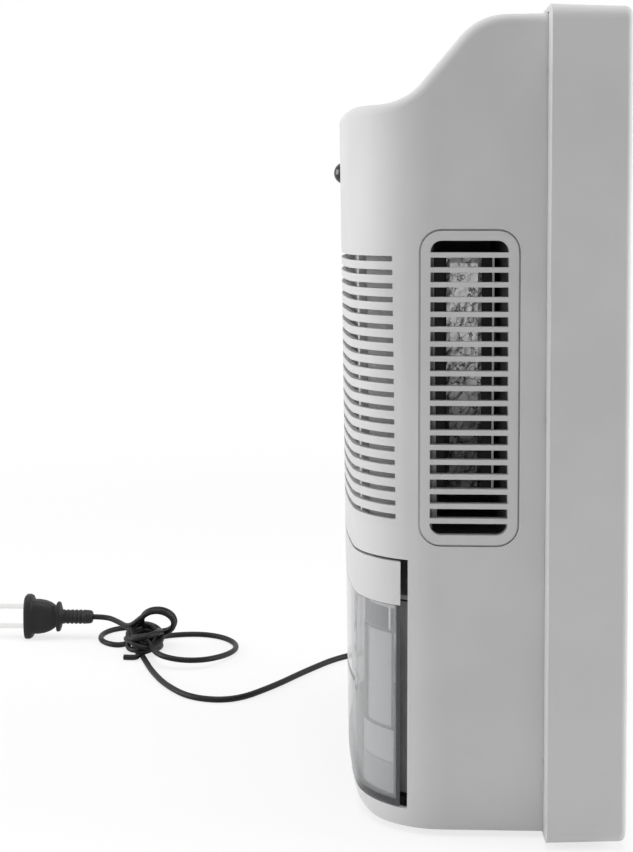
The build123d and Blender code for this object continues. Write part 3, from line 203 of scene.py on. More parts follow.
# Air filter: a sheet of grey non-woven fibre, cut flat and bent round behind the louvre.
# The louvre's upright ribs hold it, and its ends are tucked behind the housing's sides.
FRONT_Y = -60.65
HALF_WIDTH = 96.0
BOW_RADIUS = 450.0
CORNER_RADIUS = 37.5
LEAN = math.tan(math.radians(0.9))
LEAN_HEIGHT = 292.0
FILTER_INSET = 5.6
FILTER_THICK = 1.0
FILTER_HEIGHTS = (137.5, 254.5)
FILTER_BACK = 33.0
FILTER_STEPS = 10


def front_line(inset, z):
    """Points along the bowed front at a height, drawn in by inset, from one side's back to the other's."""
    bow, corner = BOW_RADIUS - inset, CORNER_RADIUS - inset
    side = HALF_WIDTH - inset
    middle = side - corner
    depth = bow - math.sqrt((bow - corner) ** 2 - middle ** 2)
    swing = math.atan2(middle, bow - depth)
    half = []
    for i in range(FILTER_STEPS):
        turn = swing * i / FILTER_STEPS
        half.append((bow * math.sin(turn), bow - bow * math.cos(turn)))
    for i in range(FILTER_STEPS + 1):
        turn = swing + (math.pi / 2 - swing) * i / FILTER_STEPS
        half.append((middle + corner * math.sin(turn), depth - corner * math.cos(turn)))
    half.append((side, FILTER_BACK - inset))
    front = FRONT_Y + inset + (LEAN_HEIGHT - z) * LEAN
    whole = [(-x, y) for x, y in half[:0:-1]] + half
    return [(x, front + y, z) for x, y in whole]


def bent_sheet(name, lines, finish):
    """A closed sheet whose section runs through the ends of the given lines of points."""
    mesh = bmesh.new()
    rows = [[mesh.verts.new(Vector(p) * MM) for p in line] for line in lines]
    for row, after in zip(rows, rows[1:] + rows[:1]):
        for i in range(len(row) - 1):
            mesh.faces.new((row[i], row[i + 1], after[i + 1], after[i]))
    for end in (0, -1):
        mesh.faces.new([row[end] for row in rows])
    return finished_piece(name, mesh, finish)


filter_fibre = moulded("filter_fibre", (0.46, 0.46, 0.465), 2600.0, 0.95, tone=0.12, relief=0.9,
                       gloss=0.1)
filter_low, filter_high = FILTER_HEIGHTS
filter_inner = FILTER_INSET + FILTER_THICK
air_filter = bent_sheet("air_filter", [
    front_line(FILTER_INSET, filter_low), front_line(FILTER_INSET, filter_high),
    front_line(filter_inner, filter_high), front_line(filter_inner, filter_low),
], filter_fibre)
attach(air_filter, "housing")

# Water tank: open box moulded in clear plastic with a slight smoke tint, glossy inside and out.
# Its colour is painted darker, as painted shade, where the walls are seen edge on and in fixed bands at the
# floor and at the step behind the fascia.
# The sides behind the step are lightly ground, where they slide in the bay.
TANK_TINT = (0.64, 0.65, 0.66)
TANK_EDGE_SHADE = (0.05, 0.05, 0.055)
TANK_STEP = (-0.0341, -0.0322)
TANK_BASE = 0.0142
TANK_BLEND = 0.28
TANK_GRAZING = 0.6
TANK_ALPHA = (0.26, 0.88)
TANK_GROUND = 0.80
TANK_GLOSS = (0.03, 0.09)
SMOKE_SCALE = 12.0
SMOKE_DARK = 0.95
GLOSS_SCALE = 40.0
clear_plastic, tank_shader, tank_place = new_finish("clear_plastic")
tank_axes = add_node(clear_plastic, "ShaderNodeSeparateXYZ")
join(clear_plastic, tank_place, tank_axes.inputs["Vector"])


def within(finish, value, low, high):
    """1 where a value lies between low and high, else 0."""
    above = add_node(finish, "ShaderNodeMath", operation="GREATER_THAN")
    above.inputs[1].default_value = low
    below = add_node(finish, "ShaderNodeMath", operation="LESS_THAN")
    below.inputs[1].default_value = high
    both = add_node(finish, "ShaderNodeMath", operation="MULTIPLY")
    for node in (above, below):
        join(finish, value, node.inputs[0])
    join(finish, above.outputs["Value"], both.inputs[0])
    join(finish, below.outputs["Value"], both.inputs[1])
    return both.outputs["Value"]


def greater(finish, one, two):
    """The greater of two values."""
    node = add_node(finish, "ShaderNodeMath", operation="MAXIMUM")
    join(finish, one, node.inputs[0])
    join(finish, two, node.inputs[1])
    return node.outputs["Value"]


def painted_over(finish, share, base, colour):
    """A base colour that gives way to one plain colour by a 0 to 1 share."""
    mix = add_node(finish, "ShaderNodeMix", data_type="RGBA")
    join(finish, share, mix.inputs[0])
    join(finish, base, mix.inputs[6])
    mix.inputs[7].default_value = (*colour, 1.0)
    return mix.outputs[2]


tank_depth, tank_height = tank_axes.outputs["Y"], tank_axes.outputs["Z"]
# Painted shade: a near black colour in bands at the tank's floor and step and on walls seen edge on; the
# same share also makes the walls more opaque.
tank_painted_bands = greater(clear_plastic, within(clear_plastic, tank_depth, *TANK_STEP),
                    within(clear_plastic, tank_height, 0.0, TANK_BASE))
tank_facing = add_node(clear_plastic, "ShaderNodeLayerWeight", Blend=TANK_BLEND).outputs["Facing"]
tank_painted_edge = greater(clear_plastic, tank_painted_bands, spread(clear_plastic, tank_facing, 0.0, TANK_GRAZING))
tank_smoke = tint(clear_plastic, speckle(clear_plastic, tank_place, SMOKE_SCALE),
                  tuple(c * SMOKE_DARK for c in TANK_TINT), TANK_TINT)
join(clear_plastic, painted_over(clear_plastic, tank_painted_edge, tank_smoke, TANK_EDGE_SHADE),
     tank_shader.inputs["Base Color"])
tank_clear = spread(clear_plastic, tank_painted_edge, *TANK_ALPHA)
tank_ground = spread(clear_plastic, within(clear_plastic, tank_depth, TANK_STEP[1], 1.0), 0.0, TANK_GROUND)
join(clear_plastic, greater(clear_plastic, tank_clear, tank_ground), tank_shader.inputs["Alpha"])
tank_gloss = spread(clear_plastic, speckle(clear_plastic, tank_place, GLOSS_SCALE), *TANK_GLOSS)
join(clear_plastic, tank_gloss, tank_shader.inputs["Roughness"])
dress(clear_plastic, "water_tank")

# Float guides: a pale plate across the inside of each front corner of the tank, along the wall's curve.
# A dark rib frame and a foot plate between them join it to the wall, below the lid's skirt.
PLATE_INSETS = (3.1, 3.7)
RIB_INSETS = (2.24, 3.1)
GUIDE_REACH = (-48.2, -35.2)
GUIDE_HEIGHTS = (43.5, 88.0)
RIB_WIDE = 1.0
PLATE_BASE = 15.0
FOOT_HEIGHTS = (15.0, 28.5)
GUIDE_STEPS = 8


def corner_sheet(name, side, insets, reach, heights, finish):
    """A curved plate along one front corner of the tank, between two insets, depths and heights."""
    lines = []
    (outer, inner), (low, high) = insets, heights
    middle = HALF_WIDTH - CORNER_RADIUS
    for inset, z in ((outer, low), (outer, high), (inner, high), (inner, low)):
        front = FRONT_Y + inset + (LEAN_HEIGHT - z) * LEAN
        bow, corner = BOW_RADIUS - inset, CORNER_RADIUS - inset
        depth = front + bow - math.sqrt((bow - corner) ** 2 - middle ** 2)
        start, end = (math.acos((depth - y) / corner) for y in reach)
        line = []
        for i in range(GUIDE_STEPS + 1):
            turn = start + (end - start) * i / GUIDE_STEPS
            line.append((side * (middle + corner * math.sin(turn)), depth - corner * math.cos(turn), z))
        lines.append(line)
    piece = bent_sheet(name, lines, finish)
    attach(piece, "tank")


guide_plastic = moulded("guide_plastic", (0.03, 0.03, 0.032), 700.0, 0.3)
plate_plastic = moulded("plate_plastic", (0.56, 0.56, 0.57), 700.0, 0.3)
foot_plastic = moulded("foot_plastic", (0.38, 0.38, 0.39), 700.0, 0.3)
guide_near, guide_far = GUIDE_REACH
guide_low, guide_high = GUIDE_HEIGHTS
guide_between = (guide_near + RIB_WIDE, guide_far - RIB_WIDE)
for hand, side in (("right", 1), ("left", -1)):
    corner_sheet("level_plate_" + hand, side, PLATE_INSETS, GUIDE_REACH, (PLATE_BASE, guide_high),
                 plate_plastic)
    corner_sheet("foot_plate_" + hand, side, RIB_INSETS, GUIDE_REACH, FOOT_HEIGHTS, foot_plastic)
    for place, reach, heights in (
        ("front", (guide_near, guide_near + RIB_WIDE), GUIDE_HEIGHTS),
        ("back", (guide_far - RIB_WIDE, guide_far), GUIDE_HEIGHTS),
        ("low", guide_between, (guide_low, guide_low + RIB_WIDE)),
        ("high", guide_between, (guide_high - RIB_WIDE, guide_high)),
    ):
        corner_sheet("guide_rib_%s_%s" % (place, hand), side, RIB_INSETS, reach, heights, guide_plastic)

# Tank lid, bay liner, drip tray and float: plain white moulded plastic, and a float block of closed foam.
# The lid drops into the tank, the liner and tray are fixed in the housing, the float arm hangs on a pin.
INNER_WHITE = (0.72, 0.72, 0.71)
inner_plastic = moulded("inner_plastic", INNER_WHITE, 900.0, 0.5)
dress(inner_plastic, "tank_lid", "tank_bay", "drip_tray", "float_arm")
float_foam = moulded("float_foam", (0.80, 0.80, 0.77), 500.0, 0.7, relief=0.4)
dress(float_foam, "float_block")

# Power button: a domed cap moulded in glossy black plastic.
# It stands out of a hole in the front and rests on the switch's plunger behind it.
button_black = moulded("button_black", (0.012, 0.012, 0.013), 600.0, 0.14, tone=0.1, relief=0.02)
dress(button_black, "power_button")

# Fan frame and rotor, switch bodies and plunger: black plastic with a satin skin.
# The fan is screwed to the duct, and the switches are soldered to the boards or clipped to the bay.
inner_black = moulded("inner_black", (0.022, 0.022, 0.023), 1100.0, 0.45, tone=0.12)
dress(inner_black, "fan_frame", "fan_rotor", "level_switch", "tact_switch", "switch_plunger")

# Air duct: a box moulded in dark grey plastic, matt and a little dusty from the air that it leads.
# It holds the warm sink and carries the fan at its back.
duct_grey = moulded("duct_grey", (0.17, 0.17, 0.172), 1100.0, 0.6, tone=0.15, gloss=0.3)
dress(duct_grey, "air_duct")

# Heat sinks: extruded aluminium with drawing lines along the fins, clamped on either side of the module.
# The cold one is bare, the warm one is anodised black and its fin tips are sawn bright.
ALLOY_GREY = (0.62, 0.62, 0.63)
ANODISED_BLACK = (0.03, 0.03, 0.032)
FIN_LINES = (2200.0, 2200.0, 40.0)
FIN_TIPS = (0.0094, 0.02)
LINE_DARK = 0.9
LINE_DEPTH = 0.0001
LINE_SPREAD = 0.07


def drawn_metal(name, colour, stretch, rough):
    """Metal with fine lines along Z, as an extrusion or a turned piece has."""
    finish, shader, place = new_finish(name)
    lines = add_node(finish, "ShaderNodeMapping")
    lines.inputs["Scale"].default_value = stretch
    join(finish, place, lines.inputs["Vector"])
    streaks = speckle(finish, lines.outputs["Vector"], 1.0, 4.0)
    dark = tuple(c * LINE_DARK for c in colour)
    join(finish, tint(finish, streaks, dark, colour), shader.inputs["Base Color"])
    uneven = spread(finish, streaks, rough - LINE_SPREAD, rough + LINE_SPREAD)
    join(finish, uneven, shader.inputs["Roughness"])
    emboss(finish, shader, streaks, 0.15, LINE_DEPTH)
    shader.inputs["Metallic"].default_value = 1.0
    return finish


alloy = drawn_metal("alloy", ALLOY_GREY, FIN_LINES, 0.34)
dress(alloy, "cold_sink")
anodised = drawn_metal("anodised", ANODISED_BLACK, FIN_LINES, 0.42)
fin_axes = add_node(anodised, "ShaderNodeSeparateXYZ")
join(anodised, anodised.node_tree.nodes["Texture Coordinate"].outputs["Object"], fin_axes.inputs["Vector"])
fin_tips = within(anodised, fin_axes.outputs["Y"], *FIN_TIPS)
fin_colour = anodised.node_tree.nodes["Principled BSDF"].inputs["Base Color"]
join(anodised, painted_over(anodised, fin_tips, fin_colour.links[0].from_socket, ALLOY_GREY), fin_colour)
dress(anodised, "hot_sink")

# Screws, fan shaft, float pin and magnet: turned or headed steel with zinc plating.
# The shaft runs in a bearing bush of sintered bronze, pressed into the fan's frame.
TURNED_LINES = (1500.0, 300.0, 1500.0)
zinc_steel = drawn_metal("zinc_steel", (0.52, 0.52, 0.54), TURNED_LINES, 0.3)
dress(zinc_steel, "cover_screws", "board_screws", "sink_screws", "fan_screws", "fan_shaft", "float_pin",
      "float_magnet")
bronze = drawn_metal("bronze", (0.55, 0.36, 0.16), TURNED_LINES, 0.3)
dress(bronze, "fan_bearing")

# Thermoelectric module and its frame: two white ceramic plates with the elements between them.
# A frame cut from black foam keeps the cold side apart from the warm one.
ceramic = moulded("ceramic", (0.80, 0.80, 0.78), 2500.0, 0.6, relief=0.05)
dress(ceramic, "peltier_module")
black_foam = moulded("black_foam", (0.03, 0.03, 0.03), 700.0, 0.9, relief=0.8)
dress(black_foam, "insulation_frame")

# Circuit boards: glass fibre board with green lacquer over its copper tracks.
# They are screwed to bosses in the housing and the back cover.
BOARD_GREENS = ((0.012, 0.085, 0.03, 1.0), (0.016, 0.11, 0.04, 1.0))
TRACK_GREEN = (0.05, 0.2, 0.07, 1.0)
TRACK_SCALE = 140.0
TRACK_WIDE = 0.012
board_green, board_shader, board_place = new_finish("board_green")
tracks = add_node(board_green, "ShaderNodeTexBrick", Scale=TRACK_SCALE, Mortar=TRACK_GREEN)
tracks.inputs["Color1"].default_value, tracks.inputs["Color2"].default_value = BOARD_GREENS
tracks.inputs["Mortar Size"].default_value = TRACK_WIDE
board_turn = add_node(board_green, "ShaderNodeMapping")
board_turn.inputs["Rotation"].default_value = (math.radians(90), 0, 0)
join(board_green, board_place, board_turn.inputs["Vector"])
join(board_green, board_turn.outputs["Vector"], tracks.inputs["Vector"])
join(board_green, tracks.outputs["Color"], board_shader.inputs["Base Color"])
emboss(board_green, board_shader, tracks.outputs["Fac"], 0.3, 0.0001)
board_shader.inputs["Roughness"].default_value = 0.3
dress(board_green, "control_board", "power_board")

# Transformer, capacitors and terminal block: yellow winding tape, dark blue sleeves and grey plastic.
# All are soldered to the power board.
winding_tape = moulded("winding_tape", (0.62, 0.42, 0.08), 300.0, 0.35, tone=0.08)
dress(winding_tape, "transformer")
sleeve_blue = moulded("sleeve_blue", (0.015, 0.02, 0.05), 800.0, 0.3, tone=0.1)
dress(sleeve_blue, "capacitors")
terminal_grey = moulded("terminal_grey", (0.25, 0.27, 0.25), 800.0, 0.4)
dress(terminal_grey, "terminal_block")

# Foil-faced insulation: a pad on each end fin of the hot sink, wrapped in crumpled aluminium foil.
# Its lower half is painted darker, as painted shade where the light from above falls off.
FOIL_GREY = (0.93, 0.93, 0.94)
FOIL_FOLD_SHADE = (0.20, 0.20, 0.205)
FOIL_STEPS = (10, 44)
FOIL_THICK = 3.0 * MM
FOIL_CREASE = 0.9 * MM
FOIL_FRONT = -11.4 * MM
FOIL_SHADE_HEIGHTS = (0.165, 0.225)
FOIL_SHADE_LOW = 0.12
FOLD_SCALE = 170.0
FOLD_STRAY = 0.008
FOLD_SHADE_WIDE = 0.07
STRAY_SCALE = 260.0
FOIL_ROUGH = (0.34, 0.52)
ROUGH_SCALE = 60.0
DENT_SCALE = 220.0
DENT_DEPTH = 0.0006
CREASE_SCALE = 90.0
CREASE_LIMIT = 1.5
foil_finish, foil_shader, foil_place = new_finish("foil")


def fade(finish, value, start, end, low):
    """A smooth rise from low to 1 between two places."""
    ranged = add_node(finish, "ShaderNodeMapRange", interpolation_type="SMOOTHSTEP")
    ranged.inputs["From Min"].default_value = start
    ranged.inputs["From Max"].default_value = end
    ranged.inputs["To Min"].default_value = low
    join(finish, value, ranged.inputs["Value"])
    return ranged.outputs["Result"]


def crease_cells(finish, place, scale):
    """The distance to the edges of irregular cells."""
    cells = add_node(finish, "ShaderNodeTexVoronoi", feature="DISTANCE_TO_EDGE", Scale=scale)
    join(finish, place, cells.inputs["Vector"])
    return cells.outputs["Distance"]


foil_axes = add_node(foil_finish, "ShaderNodeSeparateXYZ")
join(foil_finish, foil_place, foil_axes.inputs["Vector"])
# Painted shade: the foil's colour darkens smoothly towards the bottom of the pad.
foil_painted_shade = fade(foil_finish, foil_axes.outputs["Z"], *FOIL_SHADE_HEIGHTS, FOIL_SHADE_LOW)
fold_stray = add_node(foil_finish, "ShaderNodeTexNoise", Scale=STRAY_SCALE, Detail=3.0)
join(foil_finish, foil_place, fold_stray.inputs["Vector"])
fold_place = add_node(foil_finish, "ShaderNodeVectorMath", operation="MULTIPLY_ADD")
fold_place.inputs[1].default_value = (FOLD_STRAY, FOLD_STRAY, FOLD_STRAY)
join(foil_finish, fold_stray.outputs["Color"], fold_place.inputs[0])
join(foil_finish, foil_place, fold_place.inputs[2])
# Painted shade: thin dark lines along irregular cells stand for the shade in the foil's creases.
fold_shade_line = add_node(foil_finish, "ShaderNodeMapRange")
fold_shade_line.inputs["From Max"].default_value = FOLD_SHADE_WIDE
fold_edges = crease_cells(foil_finish, fold_place.outputs["Vector"], FOLD_SCALE)
join(foil_finish, fold_edges, fold_shade_line.inputs["Value"])
foil_tone = add_node(foil_finish, "ShaderNodeMix", data_type="RGBA", blend_type="MULTIPLY")
foil_tone.inputs[0].default_value = 1.0
join(foil_finish, tint(foil_finish, fold_shade_line.outputs["Result"], FOIL_FOLD_SHADE, FOIL_GREY), foil_tone.inputs[6])
join(foil_finish, foil_painted_shade, foil_tone.inputs[7])
join(foil_finish, foil_tone.outputs[2], foil_shader.inputs["Base Color"])
foil_rough = spread(foil_finish, speckle(foil_finish, foil_place, ROUGH_SCALE), *FOIL_ROUGH)
join(foil_finish, foil_rough, foil_shader.inputs["Roughness"])
emboss(foil_finish, foil_shader, crease_cells(foil_finish, foil_place, DENT_SCALE), 0.5, DENT_DEPTH)
foil_shader.inputs["Metallic"].default_value = 1.0


def crumpled_foil(name, side):
    """A pad whose outer face is creased like hand pressed foil, closed at its back."""
    low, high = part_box("foil_pads")
    x_far = high.x if side > 0 else low.x
    x_near = x_far - side * FOIL_THICK
    across, up = FOIL_STEPS
    mesh = bmesh.new()
    rows = []
    for j in range(up + 1):
        row = []
        for i in range(across + 1):
            y = FOIL_FRONT + (high.y - FOIL_FRONT) * i / across
            z = low.z + (high.z - low.z) * j / up
            place = Vector((side * 0.2, y * CREASE_SCALE, z * CREASE_SCALE))
            fold = noise.turbulence(place, 3, True, noise_basis="VORONOI_F2F1")
            edge = 0.0 if i in (0, across) or j in (0, up) else 1.0
            row.append(mesh.verts.new((x_far - side * FOIL_CREASE * min(CREASE_LIMIT, fold) * edge, y, z)))
        rows.append(row)
    for j in range(up):
        for i in range(across):
            mesh.faces.new((rows[j][i], rows[j][i + 1], rows[j + 1][i + 1], rows[j + 1][i]))
    rim = [r[0] for r in rows[::-1]] + rows[0][1:] + [r[-1] for r in rows[1:]] + rows[-1][-2:0:-1]
    back = [mesh.verts.new((x_near, v.co.y, v.co.z)) for v in rim]
    count = len(rim)
    for i in range(count):
        mesh.faces.new((rim[i], rim[(i + 1) % count], back[(i + 1) % count], back[i]))
    mesh.faces.new(back)
    pad = finished_piece(name, mesh, foil_finish)
    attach(pad, "housing")
    return pad


foil_right = crumpled_foil("foil_right", 1)
crumpled_foil("foil_left", -1)
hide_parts("foil_pads")

# Rubber feet, lid seal and strain relief: black rubber and soft vinyl with a dull moulded skin.
# The feet are stuck under the base, the seal lies round the lid and the relief is pressed into the cover.
soft_black = moulded("soft_black", (0.014, 0.014, 0.015), 1000.0, 0.5, tone=0.15, gloss=0.25)
dress(soft_black, "rubber_feet", "lid_seal", "strain_relief")

# Plug: one moulding in soft black vinyl with an oval flange, barrel grip, finger stop and ringed sleeve.
# It is moulded straight onto the cord's end and the two blades.
PLUG_AXIS = (-194.0, 14.1)
PLUG_POINTS = 40
PLUG_RINGS = [
    (-266.0, 17.0, 27.0, 3.0), (-265.5, 18.0, 28.0, 3.0), (-263.2, 18.0, 28.0, 3.0),
    (-261.6, 17.0, 26.4, 3.0), (-260.9, 15.2, 23.0, 3.2), (-260.6, 14.4, 21.4, 3.4),
    (-257.5, 14.6, 21.4, 3.4), (-253.5, 14.0, 20.2, 3.2), (-250.0, 12.8, 17.8, 3.0),
    (-247.4, 11.2, 14.4, 2.8), (-246.3, 10.2, 12.2, 2.6), (-246.0, 10.6, 12.8, 2.6),
    (-245.8, 12.0, 18.4, 2.8), (-245.2, 12.4, 19.0, 2.8), (-244.0, 12.0, 18.4, 2.8),
    (-243.2, 10.2, 13.6, 2.6), (-242.8, 9.2, 9.6, 2.2), (-242.0, 9.0, 9.0, 2.0),
]
SLEEVE_START = -241.0
SLEEVE_RINGS = 5
SLEEVE_PITCH = 2.7
for i in range(SLEEVE_RINGS):
    ring_y = SLEEVE_START + SLEEVE_PITCH * i
    PLUG_RINGS += [(ring_y, 9.0, 9.0, 2.0), (ring_y + 0.3, 8.0, 8.0, 2.0), (ring_y + 1.0, 8.0, 8.0, 2.0),
                   (ring_y + 1.3, 8.9, 8.9, 2.0)]
PLUG_RINGS += [
    (-226.0, 8.6, 8.6, 2.0), (-224.2, 8.2, 8.2, 2.0), (-223.3, 7.2, 7.2, 2.0), (-223.0, 6.0, 6.0, 2.0),
]


def oval_loft(name, rings, axis, count, finish):
    """A closed form along Y through ovals of a given width, height and squareness."""
    mesh = bmesh.new()
    loops = []
    for y, wide, tall, square in rings:
        loop = []
        for i in range(count):
            turn = math.tau * i / count
            c, d = math.cos(turn), math.sin(turn)
            x = math.copysign(abs(c) ** (2 / square), c) * wide / 2
            z = math.copysign(abs(d) ** (2 / square), d) * tall / 2
            loop.append(mesh.verts.new(((axis[0] + x) * MM, y * MM, (axis[1] + z) * MM)))
        loops.append(loop)
    for loop, after in zip(loops, loops[1:]):
        for i in range(count):
            mesh.faces.new((loop[i], loop[(i + 1) % count], after[(i + 1) % count], after[i]))
    mesh.faces.new(loops[0])
    mesh.faces.new(loops[-1])
    for face in mesh.faces:
        face.smooth = len(face.verts) == 4
    return finished_piece(name, mesh, finish)


plug = oval_loft("moulded_plug", PLUG_RINGS, PLUG_AXIS, PLUG_POINTS, soft_black)
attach(plug, "housing")
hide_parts("plug_body")

# Plug blades: brass strip, stamped flat with rounded ends and nickel plated.
# They are held in the plug's moulding.
nickel = drawn_metal("nickel", (0.82, 0.82, 0.81), (900.0, 60.0, 900.0), 0.25)
dress(nickel, "plug_blades")

# Mains cord: thin two-core lead in black vinyl, tied in a hank just as it is unpacked.
# It leaves the strain relief, lies along the floor, forms the hank and ends in the plug.
CORD_DIAMETER = 3.4
CORD_FLOOR = 1.75
HANK_LEVEL = 7.4
HANK_UNDER = 2.6
HANK_RUN_IN = 16.0
HANK_LEAVE = 2.3
HANK_WAIST = (-172.0, -185.0)
HANK_CROSSING = (-191.0, -188.0)
TAIL_DIP = (-187.0, -206.0, 13.4)
PLUG_ENTRY = (-214.0, -223.0)
RIGHT_LOOP = (-170.0, -158.0, 31.0, 30.0)
RIGHT_SAG = 8.0
LEFT_LOOP = (-194.0, -201.0, 20.0, 17.0)
STANDING_RADIUS = 10.5
STANDING_LEAN = math.radians(30.0)
STANDING_MIDDLE = (-186.0, -178.5)
STANDING_STEP = 5.4
LEAD_POINTS = [
    (-138.0, 46.85, 22.0), (-164.0, 46.85, 22.0), (-185.0, 20.0, 9.0), (-181.0, -22.0, CORD_FLOOR),
    (-158.0, -62.0, CORD_FLOOR), (-128.0, -83.0, CORD_FLOOR), (-98.0, -101.0, CORD_FLOOR),
    (-73.0, -121.0, CORD_FLOOR), (-76.0, -145.0, CORD_FLOOR), (-97.0, -162.0, CORD_FLOOR),
    (-122.0, -174.0, CORD_FLOOR), (-145.0, -182.0, CORD_FLOOR),
]


def loop_points(loop, start, end, steps, z0, z1, sag=0.0):
    """Points round part of an oval (centre and half sizes), climbing from z0 to z1, slack on one side."""
    cx, cy, rx, ry = loop
    points = []
    for i in range(steps + 1):
        share = i / steps
        turn = math.radians(start + (end - start) * share)
        z = z0 + (z1 - z0) * max(0.0, 2 * share - 1)
        x = cx - (rx + sag * max(0.0, -math.cos(turn))) * math.cos(turn)
        points.append((x, cy + ry * math.sin(turn), z))
    return points


def standing_points(steps, angle):
    """Points of the upright loops, a helix that leans over and leaves on its way down."""
    x0, y0 = STANDING_MIDDLE
    points = []
    for i in range(steps + 1):
        turn = math.radians(i * angle)
        rise = STANDING_RADIUS * (1 - math.cos(turn))
        x = x0 + STANDING_STEP * turn / math.tau + rise * math.sin(STANDING_LEAN)
        y = y0 + STANDING_RADIUS * math.sin(turn)
        points.append((x, y, HANK_LEVEL + rise * math.cos(STANDING_LEAN)))
    return points


before, start = (Vector(p) for p in LEAD_POINTS[-2:])
under = tuple(start + (start - before).normalized() * HANK_RUN_IN)
right_loop = loop_points(RIGHT_LOOP, start=-50, end=215, steps=9, z0=CORD_FLOOR, z1=HANK_LEVEL,
                         sag=RIGHT_SAG)
right_loop[0] = (*right_loop[0][:2], HANK_UNDER)
left_loop = loop_points(LEFT_LOOP, start=180, end=400, steps=8, z0=CORD_FLOOR, z1=CORD_FLOOR)
standing = standing_points(steps=20, angle=30.0)
leaving = tuple(b + HANK_LEAVE * (b - a) for a, b in zip(*standing[-2:]))
plug_x, plug_height = PLUG_AXIS
cord_points = [
    *LEAD_POINTS, under, *right_loop, (*HANK_WAIST, HANK_LEVEL), *left_loop, (*HANK_CROSSING, HANK_LEVEL),
    *standing, leaving, TAIL_DIP, *((plug_x, y, plug_height) for y in PLUG_ENTRY),
]


def bent_tube(name, points, diameter):
    """A round tube along one smooth spline with the given control points in millimetres."""
    line = bpy.data.curves.new(name, "CURVE")
    line.dimensions = "3D"
    line.bevel_depth = diameter / 2 * MM
    line.bevel_resolution = 4
    line.resolution_u = 8
    line.use_fill_caps = True
    run = line.splines.new("NURBS")
    run.points.add(len(points) - 1)
    for point, place in zip(run.points, points):
        point.co = (*(c * MM for c in place), 1.0)
    run.order_u = 3
    run.use_endpoint_u = True
    tube = bpy.data.objects.new(name, line)
    bpy.context.collection.objects.link(tube)
    return tube


cord = bent_tube("mains_cord", cord_points, CORD_DIAMETER)
cord_vinyl = moulded("cord_vinyl", (0.010, 0.010, 0.011), 700.0, 0.46, tone=0.15, gloss=0.2)
cord.data.materials.append(cord_vinyl)
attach(cord, "housing")
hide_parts("cord_lead", "cord_hank", "cord_tail")

# Cord tie: a spare length of the same vinyl covered wire, wound to and fro round the hank's waist.
# One end sticks out at the floor, the other is tucked under the turns.
TIE_MIDDLE = (-168.5, -186.0, 7.6)
TIE_HALF = (16.5, 11.4, 5.6)
TIE_FLOOR = 1.9
TIE_END = [(-149.5, -195.5, TIE_FLOOR), (-148.8, -191.0, TIE_FLOOR), (-149.0, -187.0, 2.2)]
TIE_TURNS = 8
TIE_STEPS = 12
TIE_START = 0.02
TIE_WAY = (0.9, 2.1)
TIE_TILT = (0.55, 0.25, 1.3)
TIE_PULL = (0.80, 0.20, 0.43, 1.2)
TIE_DRAW = 0.5
TIE_HEAP = 1.7
tie_points = list(TIE_END)
for i in range(TIE_TURNS * TIE_STEPS + 1):
    turn = math.tau * (i / TIE_STEPS - TIE_START)
    way = TIE_WAY[0] + TIE_WAY[1] * i / TIE_STEPS
    tilt = TIE_TILT[0] + TIE_TILT[1] * math.sin(TIE_TILT[2] * i / TIE_STEPS)
    pull = TIE_PULL[0] + TIE_PULL[1] * math.sin(TIE_PULL[2] * turn + TIE_PULL[3])
    rise = math.sin(turn - way) * math.sin(tilt)
    flat = pull * math.sqrt(1 - TIE_DRAW * rise * rise)
    tie_points.append((TIE_MIDDLE[0] + TIE_HALF[0] * flat * math.cos(turn),
                       TIE_MIDDLE[1] + TIE_HALF[1] * flat * math.sin(turn),
                       max(TIE_FLOOR, TIE_MIDDLE[2] + TIE_HEAP * TIE_HALF[2] * rise)))
tie = bent_tube("hank_tie", tie_points, CORD_DIAMETER)
tie.data.materials.append(cord_vinyl)
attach(tie, "housing")
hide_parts("cord_tie")

# Floor: a plain white sheet that keeps the soft shadows under the housing and the cord.
# Seen directly it brightens to the white of the background away from the object.
FLOOR_WHITE = (0.93, 0.93, 0.93, 1.0)
FLOOR_LIFT = 0.76
FLOOR_FADE = (0.30, 1.1)
FLOOR_HALF = 30
floor_mesh = bpy.data.meshes.new("floor")
floor_corners = [(x * FLOOR_HALF, y * FLOOR_HALF, 0) for x, y in ((-1, -1), (1, -1), (1, 1), (-1, 1))]
floor_mesh.from_pydata(floor_corners, [], [(0, 1, 2, 3)])
floor = bpy.data.objects.new("floor", floor_mesh)
bpy.context.collection.objects.link(floor)
floor_paper, paper_shader, paper_place = new_finish("floor_paper")


def seen_rays(finish):
    """1 for rays from the camera and for those mirrored or let through by a surface, else 0."""
    path = add_node(finish, "ShaderNodeLightPath").outputs
    direct = greater(finish, path["Is Camera Ray"], path["Is Glossy Ray"])
    return greater(finish, direct, path["Is Transmission Ray"])


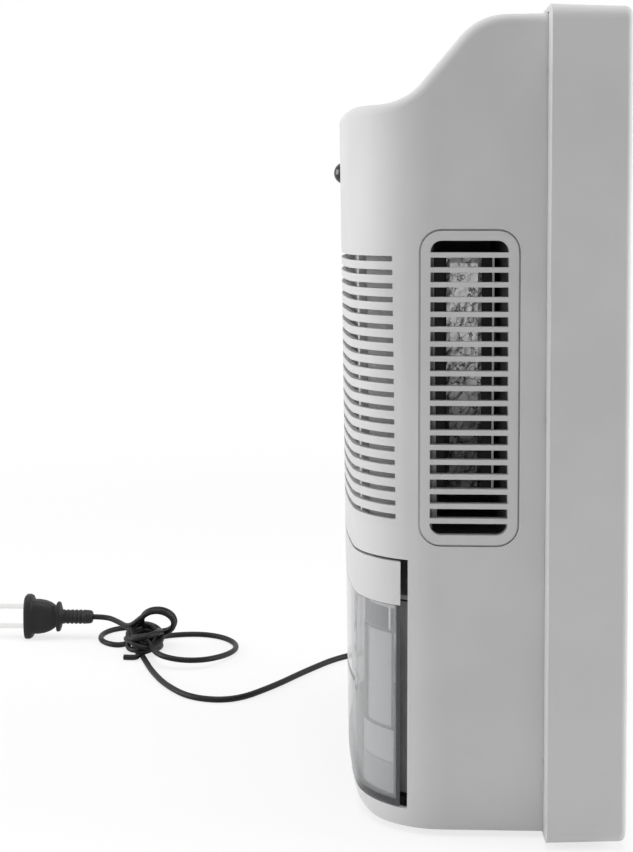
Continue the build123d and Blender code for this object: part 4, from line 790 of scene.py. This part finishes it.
paper_shader.inputs["Base Color"].default_value = FLOOR_WHITE
paper_shader.inputs["Roughness"].default_value = 0.9
paper_glow = add_node(floor_paper, "ShaderNodeEmission", Strength=1.0)
paper_far = add_node(floor_paper, "ShaderNodeVectorMath", operation="LENGTH")
join(floor_paper, paper_place, paper_far.inputs[0])
paper_lift = fade(floor_paper, paper_far.outputs["Value"], *FLOOR_FADE, FLOOR_LIFT)
paper_seen = seen_rays(floor_paper)
paper_share = add_node(floor_paper, "ShaderNodeMath", operation="MULTIPLY")
join(floor_paper, paper_seen, paper_share.inputs[0])
join(floor_paper, paper_lift, paper_share.inputs[1])
paper_mix = add_node(floor_paper, "ShaderNodeMixShader")
join(floor_paper, paper_share.outputs["Value"], paper_mix.inputs["Fac"])
join(floor_paper, paper_shader.outputs["BSDF"], paper_mix.inputs[1])
join(floor_paper, paper_glow.outputs["Emission"], paper_mix.inputs[2])
paper_end = floor_paper.node_tree.nodes["Material Output"]
join(floor_paper, paper_mix.outputs["Shader"], paper_end.inputs["Surface"])
floor_mesh.materials.append(floor_paper)

# Studio light: a wide soft lamp ahead of the product, one above it and one behind it.
# An even white surround fills the shadows and stands for the white background.
ROOM_LEVEL = 0.25
LAMP_TARGET = (0.0, 0.0, 0.2)
world = bpy.data.worlds.new("studio")
bpy.context.scene.world = world
world.use_nodes = True
room = world.node_tree.nodes["Background"]
room.inputs["Color"].default_value = (1, 1, 1, 1)
join(world, spread(world, seen_rays(world), ROOM_LEVEL, 1.0), room.inputs["Strength"])


def soft_lamp(name, place, size, power):
    """A square soft box aimed at the middle of the product."""
    lamp = bpy.data.lights.new(name, "AREA")
    lamp.energy = power
    lamp.size = size
    holder = bpy.data.objects.new(name, lamp)
    holder.location = place
    holder.rotation_euler = (Vector(LAMP_TARGET) - Vector(place)).to_track_quat("-Z", "Y").to_euler()
    bpy.context.collection.objects.link(holder)


soft_lamp("front_lamp", (0.0, -1.5, 0.5), 0.9, 14.0)
soft_lamp("top_lamp", (0.1, -0.1, 1.7), 1.3, 17.0)
soft_lamp("rear_lamp", (0.0, 1.4, 0.5), 0.8, 16.0)

# Camera: level product shot of the right side, from a little above the middle.
# The frame is shifted down, as the photograph's is below the lens's axis.
CAMERA_PLACE = (0.7222, -0.0460, 0.2711)
CAMERA_TURN = (87.46, 0.0, 92.10)
CAMERA_SHIFT = -0.1714
CAMERA_LENS = 61.48
camera_data = bpy.data.cameras.new("camera")
camera_data.sensor_width = 36.0
camera_data.lens = CAMERA_LENS
camera_data.shift_y = CAMERA_SHIFT
camera = bpy.data.objects.new("camera", camera_data)
camera.location = CAMERA_PLACE
camera.rotation_euler = [math.radians(turn) for turn in CAMERA_TURN]
bpy.context.collection.objects.link(camera)
bpy.context.scene.camera = camera
bpy.context.scene.view_settings.view_transform = "Standard"
